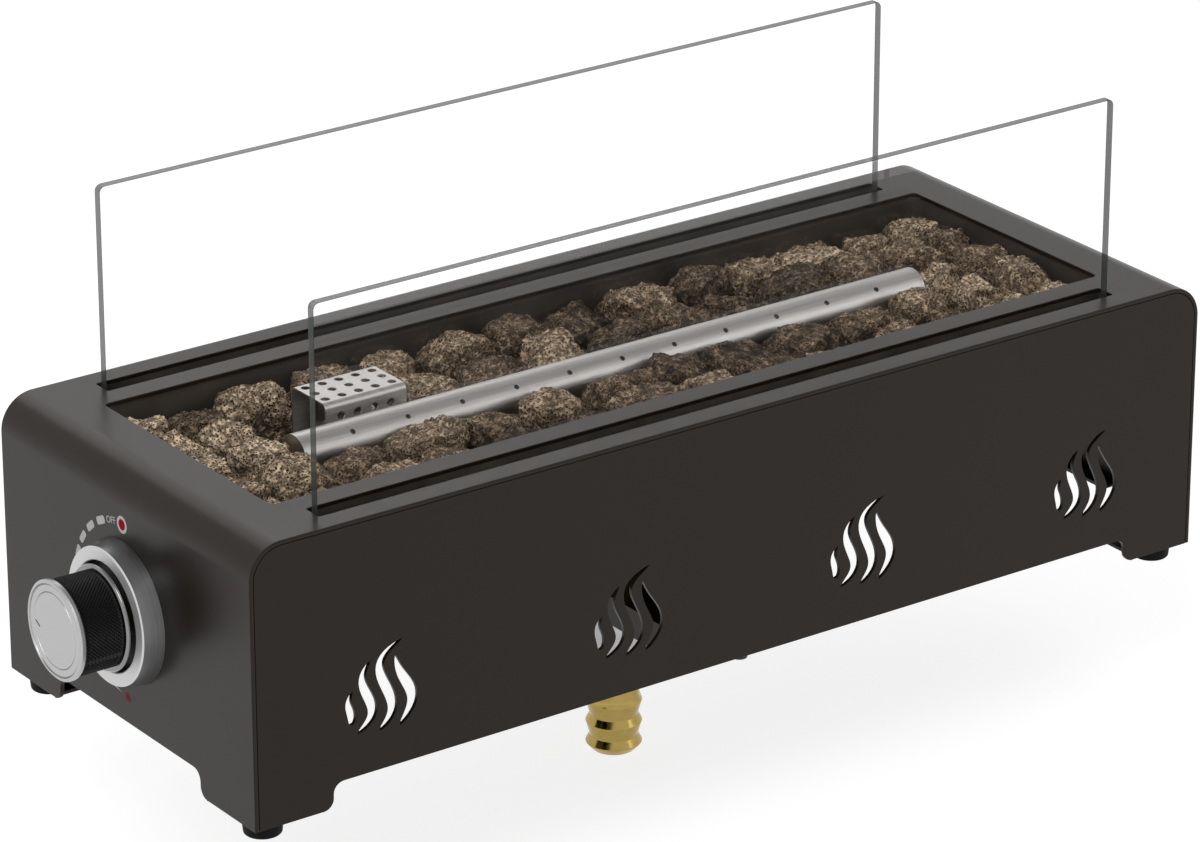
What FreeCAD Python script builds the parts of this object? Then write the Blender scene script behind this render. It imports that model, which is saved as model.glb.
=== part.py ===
import FreeCAD, Part
import math
import os
import random

# Tabletop gas fire pit, in millimetres. +X runs along the body, away from the control knob,
# -Y is the front panel and +Z is up. The origin is on the axis of the gas inlet, level with the
# undersides of the four feet.

Vector = FreeCAD.Vector
X_AXIS = Vector(1, 0, 0)
Y_AXIS = Vector(0, 1, 0)
Z_AXIS = Vector(0, 0, 1)

# ---- Body ----
LENGTH = 508.0              # end to end
WIDTH = 198.6               # front to back
BODY_HEIGHT = 128.4         # leg bottoms to the top sheet
FOOT_HEIGHT = 7.7           # rubber showing under the legs
SHEET = 2.0                 # steel of the body
WRAP_BEND = 16.0            # outer radius of the two top bends
NEST_GAP = 0.2              # between a pressing and what it nests in
PANEL_FLANGE = 7.5          # return round the top and ends of a panel, over all
BOTTOM_FLANGE = 10.0        # return along a bottom edge between the legs
TOE_RISE = 11.7             # bottom edges between the legs, above the leg bottoms
LEG_LENGTH = 34.0           # a leg's foot along X
LEG_WIDTH = 37.6            # a leg's foot along Y
LEG_ROUND = 5.0             # both curves between a leg and the raised edge
RELIEF = 1.5                # bend relief at the ends of a bottom flange
TAB_LENGTH = 30.0           # folded tab over a foot, along X

# ---- Fire opening and tray ----
OPENING_END = 32.2          # top sheet left at each end of the opening
OPENING_SIDE = 33.1         # top sheet left along each side of it
OPENING_ROUND = 2.5
TRAY_SHEET = 1.2
TRAY_SETBACK = 1.0          # tray wall behind the edge of the opening
TRAY_RIM = 5.0              # rim flange outside the wall
TRAY_DEPTH = 40.0           # top of the body to the tray's floor
TRAY_ROUND = 8.0

# ---- Glass guards ----
GLASS_THICK = 4.0
GLASS_RISE = 92.4           # glass above the body
GLASS_INSET = 16.15         # middle of a glass in from the panel's outer face
GLASS_ROUND = 3.0
GLASS_END_GAP = 1.0
GLASS_FIT = 0.35            # each side of the glass in its seat, and under it
SLOT_END = 41.5             # top sheet left at each end of a slot
SLOT_WIDTH = 10.1
SLOT_ROUND = 1.0
CHANNEL_SHEET = 1.0
CHANNEL_DEPTH = 18.0        # below the top sheet
SEAT_FLOOR = 2.0
SEAT_DROP = 3.0             # top of the rubber below the top sheet

# ---- Burner ----
BURNER_LENGTH = 336.0
BURNER_RADIUS = 10.0
BURNER_SIDE = 6.0           # straight side below the half round
BURNER_SHEET = 1.0
BURNER_DROP = 5.0           # ridge below the top of the body
BURNER_END_SHEET = 1.2
END_SPIGOT = 5.0
PORT_RADIUS = 0.95
PORT_END = 26.0             # first port in from the burner's end
PORT_COUNT = 11
PORT_ANGLE = 40.0           # from straight up, both sides
BURNER_BRACKET_INSET = 12.0 # middle of a saddle in from the burner's end
BURNER_BRACKET_LENGTH = 12.0
BURNER_BRACKET_SHEET = 1.2
BURNER_BRACKET_FOOT = 7.0
BURNER_SCREW_LENGTH = 5.4

# ---- Vents ----
VENTS_PER_PANEL = 4
# Each stroke of a flame mark: foot and tip (x from the vent's middle, height above the leg
# bottoms), bow and sway of its centre line, half width, and how low the widest place is.
FLAME_STROKES = (
    ((-15.1, 35.9), (-14.3, 51.2), 1.34, -0.84, 1.93, 0.60),
    ((-12.4, 31.1), (-5.3, 63.0), -2.36, -4.01, 2.34, 0.84),
    ((-1.5, 29.6), (10.8, 69.0), 2.97, -5.95, 2.46, 0.81),
    ((8.8, 29.4), (7.1, 62.0), -6.03, -2.23, 2.59, 0.85),
)
STROKE_ARCS = 3             # arcs along each side of a stroke

# ---- Feet and small fasteners ----
FOOT_RADIUS = 9.0
FOOT_TAPER = 0.7
FOOT_INSET_X = 11.7
FOOT_INSET_Y = 12.9
SCREW_RADIUS = 2.0
SCREW_HEAD_RADIUS = 3.6
SCREW_HEAD_HEIGHT = 2.4
SCREW_HOLE_GAP = 0.2
NUT_RADIUS = 4.0            # across corners of the small nuts, halved
NUT_HEIGHT = 3.2
HEAD_RECESS = 1.6           # a foot's screw head above the table
THREAD_SHOWS = 1.0          # screw past its nut
HOLE_SIDES = 8              # flats of a small repeated hole

# ---- Control knob, measured outwards from the left end ----
KNOB_DROP = 64.2            # knob axis below the top of the body
BEZEL_RADIUS = 32.5
BEZEL_FACE_RADIUS = 30.4
BEZEL_DEPTH = 9.8
BEZEL_POCKET_RADIUS = 24.4
BEZEL_FLOOR = 3.0
BEZEL_EDGE = 0.7
BEZEL_SCREW_Y = 17.0
KNOB_FACE = 34.6
KNOB_CAP_THICK = 3.0
KNOB_CAP_RADIUS = 22.2
KNOB_RADIUS = 21.4
KNOB_WALL = 2.6
KNOB_RIB = 2.0
KNOB_BEVEL = 0.4
KNOB_BACK = 10.6
KNOB_HUB_RADIUS = 7.5
KNOB_HUB_BACK = 7.0
KNOB_RING_RADIUS = 23.6
KNOB_RING_WIDTH = 2.6
KNOB_RING_SEAT = 20.5
KNOB_PUSH = 3.0             # travel of the push to light
POINTER_ANGLE = 100.0       # pointer from straight up, towards +Y
POINTER_LENGTH = 5.4
POINTER_WIDTH = 0.8
POINTER_DEPTH = 0.4
FACE_RING_RADIUS = 17.0
FACE_RING_WIDTH = 0.6
CAP_EDGE = 0.8              # bevels of the cap's rim
CAP_RIM = 0.7               # flat between the rim's bevel and the sunk face

# ---- Valve, measured inwards from the inner face of the left end ----
VALVE_FLANGE = 4.0
VALVE_FLANGE_WIDTH = 50.0
VALVE_FLANGE_HEIGHT = 28.0
VALVE_LENGTH = 52.0
VALVE_RADIUS = 13.0
VALVE_SKIRT_WIDTH = 20.0
VALVE_DROP = 26.0           # underside of the valve below the knob axis
VALVE_FLANGE_ROUND = 6.0
VALVE_SKIRT_ROUND = 3.0
NOSE_RADIUS = 7.5
NOSE_BORE_RADIUS = 6.05
NOSE_BORE_DEPTH = 16.0      # spring seat, inwards from the wall
RUN_FIT = 0.05              # radial clearance of the spindle and its sleeve
SPINDLE_RADIUS = 4.0
SPINDLE_FLAT = 3.0
SPINDLE_END = 29.0
SPINDLE_TIP_GAP = 0.5       # left in the knob's bore
SPINDLE_COLLAR_RADIUS = 5.8
SPINDLE_COLLAR = 1.5
SPINDLE_PIN_RADIUS = 3.2
CLIP_THICK = 0.8
SLEEVE_LENGTH = 10.5
SLEEVE_SETBACK = 0.5        # front of the sleeve behind the nose's rim
PIN_SHORT = 1.0             # spring pin before the bottom of the nose's bore
SPRING_WIRE = 0.45          # half the diagonal of its square wire
SPRING_RADIUS = 4.75
SPRING_TURNS = 3
INLET_BOSS_X = 38.0
INLET_BOSS_DROP = 11.9
INLET_BOSS_RADIUS = 7.0
INLET_BOSS_REACH = 22.0
MAGNET_DROP = 20.0
MAGNET_RADIUS = 5.0
MAGNET_REACH = 8.0
ORIFICE_BOSS_RADIUS = 10.8
ORIFICE_BOSS_REACH = 5.0
ORIFICE_RADIUS = 0.55
ORIFICE_HEX = 4.6
ORIFICE_HEAD = 5.0
ORIFICE_NOZZLE = 6.0
PIEZO_RADIUS = 7.0
PIEZO_LENGTH = 40.0
PIEZO_Y = 21.5
PIEZO_RAISE = 6.0
PIEZO_STRAP = (12.0, 24.0)  # start and end of its strap
PIEZO_STRAP_WIDTH = 6.0
PIEZO_NECK = 4.0

# ---- Mixer tube ----
MIXER_RADIUS = 8.5
MIXER_WALL = 1.0
MIXER_CUP_RADIUS = 12.0
MIXER_BELL_START = 24.0     # from the valve's rear face
MIXER_BELL_LENGTH = 10.0
MIXER_BEND = 20.0
RISER_X = -60.0
COLLAR_RADIUS = 14.0
AIR_WINDOW = 8.0
AIR_WINDOW_SETBACK = 4.0    # past the valve's outlet boss

# ---- Gas line ----
TUBE_RADIUS = 4.0
TUBE_LANE_Y = 52.0
TUBE_BEND = 18.0
TUBE_NUT_RADIUS = 8.0
TUBE_NUT_LENGTH = 10.0
TUBE_STEP_IN = 2.0          # tube end inside its nut's seat
ELBOW_RADIUS = 11.0
ELBOW_RISE = 8.0            # top of the elbow above the gas tube
ELBOW_ROUND = 3.0

# ---- Hose barb ----
BARB_TIP_Z = -63.2
BARB_TIP_RADIUS = 10.9
BARB_CREST_RADIUS = 12.9
BARB_ROOT_RADIUS = 11.0
BARB_CREST_Z = (-59.6, -49.4, -39.1)
BARB_FLARE = 3.6            # steep side above a crest
BARB_NECK_RADIUS = 11.5
BARB_BORE = 6.5
BARB_HEX = 15.6
BARB_HEX_HEIGHT = 12.0
BARB_THREAD_RADIUS = 8.0
BARB_THREAD_IN = 7.0        # thread inside the elbow
BARB_TIP_EDGE = 1.0
LOCKNUT_HEIGHT = 7.0
LOCKNUT_RADIUS = 13.5

# ---- Cross bracket that carries the inlet ----
BRACKET_WIDTH = 30.0
BRACKET_RIB = 11.7
BRACKET_RIB_GAP = 13.3      # between a rib's end and a bottom flange

# ---- Igniter ----
SHIELD_START = 24.0         # from the burner's left end
SHIELD_LENGTH = 42.0
SHIELD_Y = (12.0, 39.0)
SHIELD_SHEET = 0.8
SHIELD_DROP = 1.0           # top below the top of the body
SHIELD_BEND = 3.0
SHIELD_LIP = 22.0
SHIELD_FOOT = 7.0
SHIELD_HOLE = 2.0
SHIELD_PITCH_X = 8.6
SHIELD_PITCH_Y = 7.8
SHIELD_COLUMNS = 5
SHIELD_TOP_ROWS = 3
SHIELD_SIDE_ROWS = 2
ELECTRODE_AT = (12.0, 25.0) # along X from the cover's end, and Y
ELECTRODE_RADIUS = 3.5
ELECTRODE_TOP = 24.0        # ceramic above the tray's floor
ELECTRODE_TAIL = 10.0       # ceramic below the tray
WIRE_RADIUS = 0.8
WIRE_RISE = 7.0
WIRE_SLOPE = 1.0
WIRE_BEND = 3.0
WIRE_TIP_GAP = 2.5          # spark wire's tip behind the cover's lip
PROBE_AT = (30.0, 23.0)     # along X from the cover's end, and Y
PROBE_RADIUS = 2.5
PROBE_TOP = 28.0
SHOULDER_RADIUS = 5.5
SHOULDER_HEIGHT = 2.0
PROBE_NUT_RADIUS = 6.5
PROBE_NUT_HEIGHT = 4.0
PROBE_TIP_ROUND = 2.0
STEM_GAP = 0.3              # round what passes through the tray's floor
LEAD_RADIUS = 1.5
LEAD_START = 22.0           # straight start of the ignition lead at the piezo unit
LEAD_SAG = 20.0             # its low run below the electrode's end
LEAD_RUN = 22.0             # last turn before the electrode
CAPILLARY_RADIUS = 1.2
CAPILLARY_START = 32.0      # straight start of the sensor's lead at the magnet's nut
CAPILLARY_TURN = (-3.0, -5.0, 3.0)      # its turn upwards, from below the sensor
CAPILLARY_RISE = 12.0
MAGNET_NUT_LENGTH = 6.4

# ---- Lava rocks ----
ROCK_SEED = 11
ROCK_GAP = 0.3              # half the space between neighbours
ROCK_FLOOR_GAP = 0.3
ROCK_CLEAR_BURNER = 1.5
ROCK_CLEAR_SHIELD = 1.5
ROCK_SHIELD_X = 12.0        # no rock's middle within this of the igniter's cover
ROCK_PITCH = 31.0
ROCK_ROWS = (0.25, 0.745)   # beside the burner, as shares of the space there
ROCK_JITTER = 5.0
ROCK_TOPS = (8.0, 2.6)      # lowest and highest rock, below the top of the body
ROCK_FACETS = 8
ROCK_REACH = 22.3           # half the block that a rock is struck from
ROCK_NEIGHBOURS = 74.0      # how far away rocks still shape each other
ROCK_END_COLUMNS = (0.27, 0.76)         # past the burner's ends, as shares of the space there
ROCK_END_ROWS = 5
ROCK_STRIKE = (0.66, 0.80)  # how far out the struck faces lie

# ---- Worked out from the above ----
HALF_LENGTH = LENGTH / 2
HALF_WIDTH = WIDTH / 2
LEG_Z = FOOT_HEIGHT
TOP_Z = LEG_Z + BODY_HEIGHT
UNDER_TOP_Z = TOP_Z - SHEET
TOE_Z = LEG_Z + TOE_RISE
WALL_X = HALF_LENGTH - SHEET
PANEL_INNER_Y = HALF_WIDTH - SHEET
KNOB_Z = TOP_Z - KNOB_DROP
FLOOR_Z = TOP_Z - TRAY_DEPTH
TRAY_BOTTOM_Z = FLOOR_Z - TRAY_SHEET
BURNER_Z = TOP_Z - BURNER_DROP - BURNER_RADIUS
BURNER_BASE_Z = BURNER_Z - BURNER_SIDE
CHANNEL_FLOOR_Z = UNDER_TOP_Z - CHANNEL_DEPTH + CHANNEL_SHEET
BRACKET_Z = TOE_Z + SHEET
NOSE_X = -HALF_LENGTH - BEZEL_FLOOR
SLEEVE_X = NOSE_X + SLEEVE_SETBACK
COLLAR_X = SLEEVE_X + SLEEVE_LENGTH + RUN_FIT
VALVE_REAR_X = -WALL_X + VALVE_LENGTH
INLET_Z = KNOB_Z - INLET_BOSS_DROP
ELBOW_TOP = INLET_Z + ELBOW_RISE
OPENING_LENGTH = LENGTH - 2 * OPENING_END
OPENING_WIDTH = WIDTH - 2 * OPENING_SIDE
SLOT_LENGTH = LENGTH - 2 * SLOT_END
GLASS_CENTRE_Y = HALF_WIDTH - GLASS_INSET
BURNER_BRACKET_X = BURNER_LENGTH / 2 - BURNER_BRACKET_INSET
PORT_PITCH = (BURNER_LENGTH - 2 * PORT_END) / (PORT_COUNT - 1)
SHIELD_LEFT = SHIELD_START - BURNER_LENGTH / 2
SHIELD_X = (SHIELD_LEFT, SHIELD_LEFT + SHIELD_LENGTH)
ELECTRODE_XY = (SHIELD_LEFT + ELECTRODE_AT[0], ELECTRODE_AT[1])
PROBE_XY = (SHIELD_LEFT + PROBE_AT[0], PROBE_AT[1])
TRAY_HALF_X = OPENING_LENGTH / 2 + TRAY_SETBACK
TRAY_HALF_Y = OPENING_WIDTH / 2 + TRAY_SETBACK


# ---- Shared shapes ----
def box(x0, x1, y0, y1, z0, z1):
    """A block between two corners."""
    return Part.makeBox(x1 - x0, y1 - y0, z1 - z0, Vector(x0, y0, z0))


def rod(radius, start, end):
    """A round bar from one point to another."""
    along = Vector(*end) - Vector(*start)
    return Part.makeCylinder(radius, along.Length, Vector(*start), along)


def rod_x(radius, x0, x1, y=0.0, z=KNOB_Z):
    """A round bar along X, on the knob's axis unless moved."""
    return rod(radius, (x0, y, z), (x1, y, z))


def rod_z(radius, z0, z1, x=0.0, y=0.0):
    """A round bar along Z."""
    return rod(radius, (x, y, z0), (x, y, z1))


def prism(sides, radius, start, end):
    """A bar with flat sides, its radius to the corners."""
    along = Vector(*end) - Vector(*start)
    corners = []
    for k in range(sides + 1):
        angle = 2 * math.pi * k / sides
        corners.append(Vector(radius * math.cos(angle), radius * math.sin(angle), 0))
    bar = Part.Face(Part.makePolygon(corners)).extrude(Vector(0, 0, along.Length))
    bar.Placement = FreeCAD.Placement(Vector(*start), FreeCAD.Rotation(Z_AXIS, along))
    return bar


def hexagon(radius, start, end):
    """A hexagonal bar, its radius to the corners."""
    return prism(6, radius, start, end)


def small_hole(radius, start, end):
    """The cutter of a small repeated hole, a flat-sided bar as wide as the round one."""
    return prism(HOLE_SIDES, radius / math.cos(math.pi / HOLE_SIDES), start, end)


def lathe(profile):
    """Turn (along, radius) points about Z."""
    points = [Vector(radius, 0, along) for along, radius in profile]
    points.append(points[0])
    return Part.Face(Part.makePolygon(points)).revolve(Vector(0, 0, 0), Z_AXIS, 360)


def lathe_knob(profile):
    """Turn (distance out from the left end, radius) points about the knob's axis."""
    solid = lathe(profile)
    outwards = FreeCAD.Rotation(Z_AXIS, -X_AXIS)
    solid.Placement = FreeCAD.Placement(Vector(-HALF_LENGTH, 0, KNOB_Z), outwards)
    return solid


def rounded_plate(half_x, half_y, radius, z0, z1, y=0.0):
    """A plate with rounded corners, centred on x = 0."""
    plate = box(-half_x, half_x, y - half_y, y + half_y, z0, z1)
    upright = [e for e in plate.Edges if e.BoundBox.ZLength > (z1 - z0) / 2]
    return plate.makeFillet(radius, upright)


def arch(half_x, z0, z1, bend, y0, y1):
    """A block along Y with its two top edges rounded."""
    block = box(-half_x, half_x, y0, y1, z0, z1)
    top = [e for e in block.Edges
           if e.BoundBox.YLength > (y1 - y0) / 2 and e.CenterOfMass.z > (z0 + z1) / 2]
    return block.makeFillet(bend, top)


def join(shapes):
    """One solid from overlapping or touching ones, without seams."""
    return shapes[0].fuse(shapes[1:]).removeSplitter()


def mirrored_y(shape):
    """The same shape on the other side of the XZ plane."""
    return shape.mirror(Vector(0, 0, 0), Y_AXIS)


def mirrored_x(shape):
    """The same shape on the other side of the YZ plane."""
    return shape.mirror(Vector(0, 0, 0), X_AXIS)


def save(name, *solids):
    """Write one sub-part to its STEP file."""
    shape = solids[0] if len(solids) == 1 else Part.makeCompound(list(solids))
    for solid in shape.Solids:
        if not solid.isValid() or solid.Volume <= 0:
            raise ValueError(name + " is not a sound solid")
    shape.exportStep("parts/" + name + ".step")


def screw(at, direction, length, head_radius=SCREW_HEAD_RADIUS):
    """A cheese-head screw: at is under its head, direction is where its shank points."""
    seat = Vector(*at)
    way = Vector(*direction)
    shank = rod(SCREW_RADIUS, seat, seat + way * length)
    head = rod(head_radius, seat - way * SCREW_HEAD_HEIGHT, seat)
    return join([head, shank])


# ---- Body ----
def toe_notch(half_bottom, depth_0, depth_1, across):
    """The space under a raised bottom edge, with a leg's curve at both ends."""
    half_top = half_bottom - 2 * LEG_ROUND
    low = LEG_Z - SHEET
    block = [(-half_top, TOE_Z), (-half_top - LEG_ROUND, TOE_Z - LEG_ROUND),
             (-half_top - LEG_ROUND, LEG_Z + LEG_ROUND), (-half_bottom, LEG_Z), (-half_bottom, low)]
    block += [(-u, z) for u, z in reversed(block)]
    chord_gap = LEG_ROUND * (1 - math.sqrt(0.5))
    edges = []
    for k in range(len(block)):
        u0, z0 = block[k]
        u1, z1 = block[(k + 1) % len(block)]
        start = Vector(u0, 0, z0)
        end = Vector(u1, 0, z1)
        if abs(u0) < half_bottom + LEG_ROUND and abs(abs(u1 - u0) - LEG_ROUND) < 0.01:
            middle = (start + end) / 2
            side = 1 if u0 + u1 > 0 else -1
            rounded_out = (z0 + z1) / 2 < LEG_Z + LEG_ROUND
            push = Vector(-side, 0, -1) if rounded_out else Vector(side, 0, 1)
            middle = middle + push.normalize() * chord_gap
            edges.append(Part.Arc(start, middle, end).toShape())
        else:
            edges.append(Part.LineSegment(start, end).toShape())
    face = Part.Face(Part.Wire(edges))
    face.translate(Vector(0, depth_0, 0))
    notch = face.extrude(Vector(0, depth_1 - depth_0, 0))
    if across:
        notch.rotate(Vector(0, 0, 0), Z_AXIS, 90)
    return notch


def housing_wrap():
    """Top and both ends, folded from one sheet, with a tab over each foot."""
    outer = arch(HALF_LENGTH, LEG_Z, TOP_Z, WRAP_BEND, -HALF_WIDTH, HALF_WIDTH)
    inner = arch(WALL_X, LEG_Z - SHEET, UNDER_TOP_Z, WRAP_BEND - SHEET, -WIDTH, WIDTH)
    wrap = outer.cut(inner)
    half_notch = HALF_WIDTH - LEG_WIDTH
    wrap = wrap.cut(toe_notch(half_notch, -LENGTH, LENGTH, True))
    additions = []
    half_toe = half_notch - 2 * LEG_ROUND
    for side in (-1, 1):
        x0, x1 = sorted((side * (WALL_X - TAB_LENGTH), side * WALL_X))
        for end in (-1, 1):
            y0, y1 = sorted((end * half_notch, end * (PANEL_INNER_Y - NEST_GAP)))
            additions.append(box(x0, x1, y0, y1, LEG_Z, LEG_Z + SHEET))
        x0, x1 = sorted((side * (HALF_LENGTH - BOTTOM_FLANGE), side * WALL_X))
        additions.append(box(x0, x1, -half_toe + RELIEF, half_toe - RELIEF, TOE_Z, BRACKET_Z))
    wrap = join([wrap] + additions)
    cuts = [rounded_plate(OPENING_LENGTH / 2, OPENING_WIDTH / 2, OPENING_ROUND,
                          UNDER_TOP_Z - SHEET, TOP_Z + SHEET)]
    for end in (-1, 1):
        cuts.append(rounded_plate(SLOT_LENGTH / 2, SLOT_WIDTH / 2, SLOT_ROUND,
                                  UNDER_TOP_Z - SHEET, TOP_Z + SHEET, end * GLASS_CENTRE_Y))
        cuts.append(rod_x(SCREW_RADIUS + SCREW_HOLE_GAP, -HALF_LENGTH - 1, -WALL_X + 1,
                          end * BEZEL_SCREW_Y))
        for side in (-1, 1):
            y0, y1 = sorted((end * half_toe, end * (half_toe - RELIEF)))
            x0, x1 = sorted((side * (WALL_X - 1), side * (HALF_LENGTH + 1)))
            cuts.append(box(x0, x1, y0, y1, TOE_Z - 1, BRACKET_Z))
            cuts.append(rod_z(SCREW_RADIUS + SCREW_HOLE_GAP, LEG_Z - 1, LEG_Z + SHEET + 1,
                              side * (HALF_LENGTH - FOOT_INSET_X), end * (HALF_WIDTH - FOOT_INSET_Y)))
    cuts.append(rod_x(NOSE_RADIUS + SCREW_HOLE_GAP, -HALF_LENGTH - 1, -WALL_X + 1))
    return wrap.cut(cuts)


def flame_stroke(foot, tip, bow, sway, half_width, low):
    """Outline of one stroke: a swaying centre line with a width that closes at both ends,
    drawn as a few arcs along each side."""
    start = Vector(foot[0], 0, foot[1])
    chord = Vector(tip[0], 0, tip[1]) - start
    along = Vector(chord).normalize()
    across = Vector(-along.z, 0, along.x)
    sides = ([], [])
    steps = 2 * STROKE_ARCS
    for k in range(steps + 1):
        t = k / steps
        offset = bow * math.sin(math.pi * t) + sway * math.sin(2 * math.pi * t)
        slope = math.pi * (bow * math.cos(math.pi * t) + 2 * sway * math.cos(2 * math.pi * t))
        centre = start + chord * t + across * offset
        heading = (along + across * (slope / chord.Length)).normalize()
        out = Vector(-heading.z, 0, heading.x) * half_width * math.sin(math.pi * t ** low)
        sides[0].append(centre + out)
        sides[1].append(centre - out)
    edges = []
    for points in sides:
        points[-1] = start + chord
        for k in range(0, steps, 2):
            edges.append(Part.Arc(points[k], points[k + 1], points[k + 2]).toShape())
    return Part.Wire(Part.__sortEdges__(edges))


def front_panel():
    """Long side pressing: returns nest inside the wrap, and four flame vents let air in."""
    top_z = UNDER_TOP_Z - NEST_GAP
    half_x = WALL_X - NEST_GAP
    bend = WRAP_BEND - SHEET - NEST_GAP
    face_y = -HALF_WIDTH
    plate = arch(half_x, LEG_Z, top_z, bend, face_y, face_y + SHEET)
    rim = arch(half_x, LEG_Z + SHEET + NEST_GAP, top_z, bend, face_y, face_y + PANEL_FLANGE)
    hollow = arch(half_x - SHEET, LEG_Z, top_z - SHEET, bend - SHEET, face_y - 1, face_y + WIDTH)
    half_notch = HALF_LENGTH - LEG_LENGTH
    half_toe = half_notch - 2 * LEG_ROUND
    plate = plate.cut(toe_notch(half_notch, -WIDTH, 0, False))
    flange = box(-half_toe + RELIEF, half_toe - RELIEF, face_y, face_y + BOTTOM_FLANGE,
                 TOE_Z, BRACKET_Z)
    panel = join([plate, rim.cut(hollow), flange])
    cuts = [rod_z(SCREW_RADIUS + SCREW_HOLE_GAP, TOE_Z - 1, BRACKET_Z + 1, 0, -bracket_screw_y())]
    for side in (-1, 1):
        x0, x1 = sorted((side * half_toe, side * (half_toe - RELIEF)))
        cuts.append(box(x0, x1, face_y - 1, face_y + BOTTOM_FLANGE + 1, TOE_Z - 1, BRACKET_Z))
    pitch = LENGTH / VENTS_PER_PANEL
    for k in range(VENTS_PER_PANEL):
        middle = pitch * (k + 0.5) - HALF_LENGTH
        for stroke in FLAME_STROKES:
            outline = flame_stroke(*stroke)
            outline.translate(Vector(middle, face_y - 1, LEG_Z))
            cuts.append(Part.Face(outline).extrude(Vector(0, SHEET + 2, 0)))
    return panel.cut(cuts)


# ---- Feet ----
def foot(x, y):
    """Tapered rubber foot with a recess for its screw."""
    head_z = HEAD_RECESS + SCREW_HEAD_HEIGHT
    bore = SCREW_RADIUS + SCREW_HOLE_GAP
    recess = SCREW_HEAD_RADIUS + SCREW_HOLE_GAP
    edge = FOOT_TAPER
    profile = [(0, recess), (0, FOOT_RADIUS - 2 * edge), (edge, FOOT_RADIUS - edge),
               (FOOT_HEIGHT, FOOT_RADIUS), (FOOT_HEIGHT, bore), (head_z, bore), (head_z, recess)]
    rubber = lathe(profile)
    rubber.translate(Vector(x, y, 0))
    return rubber


def nut(start, end, radius=NUT_RADIUS, bore=SCREW_RADIUS + RUN_FIT):
    """A hexagonal nut between two points on its axis."""
    return hexagon(radius, start, end).cut(rod(bore, start, end))


def feet():
    """The four feet with the screws and nuts that hold them to the wrap's tabs."""
    screws = []
    nuts = []
    for end, end_name in ((-1, "front"), (1, "back")):
        for side, side_name in ((-1, "left"), (1, "right")):
            x = side * (HALF_LENGTH - FOOT_INSET_X)
            y = end * (HALF_WIDTH - FOOT_INSET_Y)
            save("foot_" + end_name + "_" + side_name, foot(x, y))
            seat_z = LEG_Z + SHEET
            head_z = HEAD_RECESS + SCREW_HEAD_HEIGHT
            screws.append(screw((x, y, head_z), (0, 0, 1), seat_z + NUT_HEIGHT + THREAD_SHOWS - head_z))
            nuts.append(nut((x, y, seat_z), (x, y, seat_z + NUT_HEIGHT)))
    save("foot_screws", *screws)
    save("foot_nuts", *nuts)


# ---- Fire tray ----
def fire_tray():
    """Pan that hangs under the opening by its rim and holds the burner and the rocks."""
    wall = TRAY_SHEET
    outer = rounded_plate(TRAY_HALF_X + wall, TRAY_HALF_Y + wall, TRAY_ROUND + wall,
                          TRAY_BOTTOM_Z, UNDER_TOP_Z)
    rim = rounded_plate(TRAY_HALF_X + wall + TRAY_RIM, TRAY_HALF_Y + wall + TRAY_RIM,
                        TRAY_ROUND + wall, UNDER_TOP_Z - wall, UNDER_TOP_Z)
    inner = rounded_plate(TRAY_HALF_X, TRAY_HALF_Y, TRAY_ROUND, FLOOR_Z, TOP_Z)
    tray = join([outer, rim]).cut(inner)
    low = TRAY_BOTTOM_Z - 1
    high = FLOOR_Z + 1
    cuts = [rod_z(MIXER_RADIUS + 1, low, high, RISER_X, 0),
            rod_z(ELECTRODE_RADIUS + STEM_GAP, low, high, *ELECTRODE_XY),
            rod_z(PROBE_RADIUS + STEM_GAP, low, high, *PROBE_XY)]
    for x, y in burner_screw_places():
        cuts.append(rod_z(SCREW_RADIUS + SCREW_HOLE_GAP, low, high, x, y))
    return tray.cut(cuts)


# ---- Glass guards ----
def glass_channel():
    """Closed trough under the front slot."""
    wall = CHANNEL_SHEET
    outer = rounded_plate(SLOT_LENGTH / 2 + wall, SLOT_WIDTH / 2 + wall, SLOT_ROUND + wall,
                          CHANNEL_FLOOR_Z - wall, UNDER_TOP_Z, -GLASS_CENTRE_Y)
    inner = rounded_plate(SLOT_LENGTH / 2, SLOT_WIDTH / 2, SLOT_ROUND,
                          CHANNEL_FLOOR_Z, TOP_Z, -GLASS_CENTRE_Y)
    return outer.cut(inner)


def glass_half_length():
    """Half the length of a glass, which fills its slot but for a small gap."""
    return SLOT_LENGTH / 2 - GLASS_END_GAP


def glass_bottom():
    """Height of a glass's lower edge, on its rubber."""
    return CHANNEL_FLOOR_Z + SEAT_FLOOR + GLASS_FIT


def glass_seat():
    """Silicone strip in the channel that grips the foot of the glass."""
    half_x = SLOT_LENGTH / 2 - NEST_GAP
    half_y = SLOT_WIDTH / 2 - NEST_GAP
    middle = -GLASS_CENTRE_Y
    strip = rounded_plate(half_x, half_y, SLOT_ROUND, CHANNEL_FLOOR_Z, UNDER_TOP_Z - SEAT_DROP, middle)
    slot_x = glass_half_length() + GLASS_FIT
    slot_y = GLASS_THICK / 2 + GLASS_FIT
    slot = box(-slot_x, slot_x, middle - slot_y, middle + slot_y, CHANNEL_FLOOR_Z + SEAT_FLOOR, TOP_Z)
    return strip.cut(slot)


def glass():
    """Tempered pane with rounded top corners."""
    half_x = glass_half_length()
    half_y = GLASS_THICK / 2
    middle = -GLASS_CENTRE_Y
    return arch(half_x, glass_bottom(), TOP_Z + GLASS_RISE, GLASS_ROUND, middle - half_y, middle + half_y)


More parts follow.
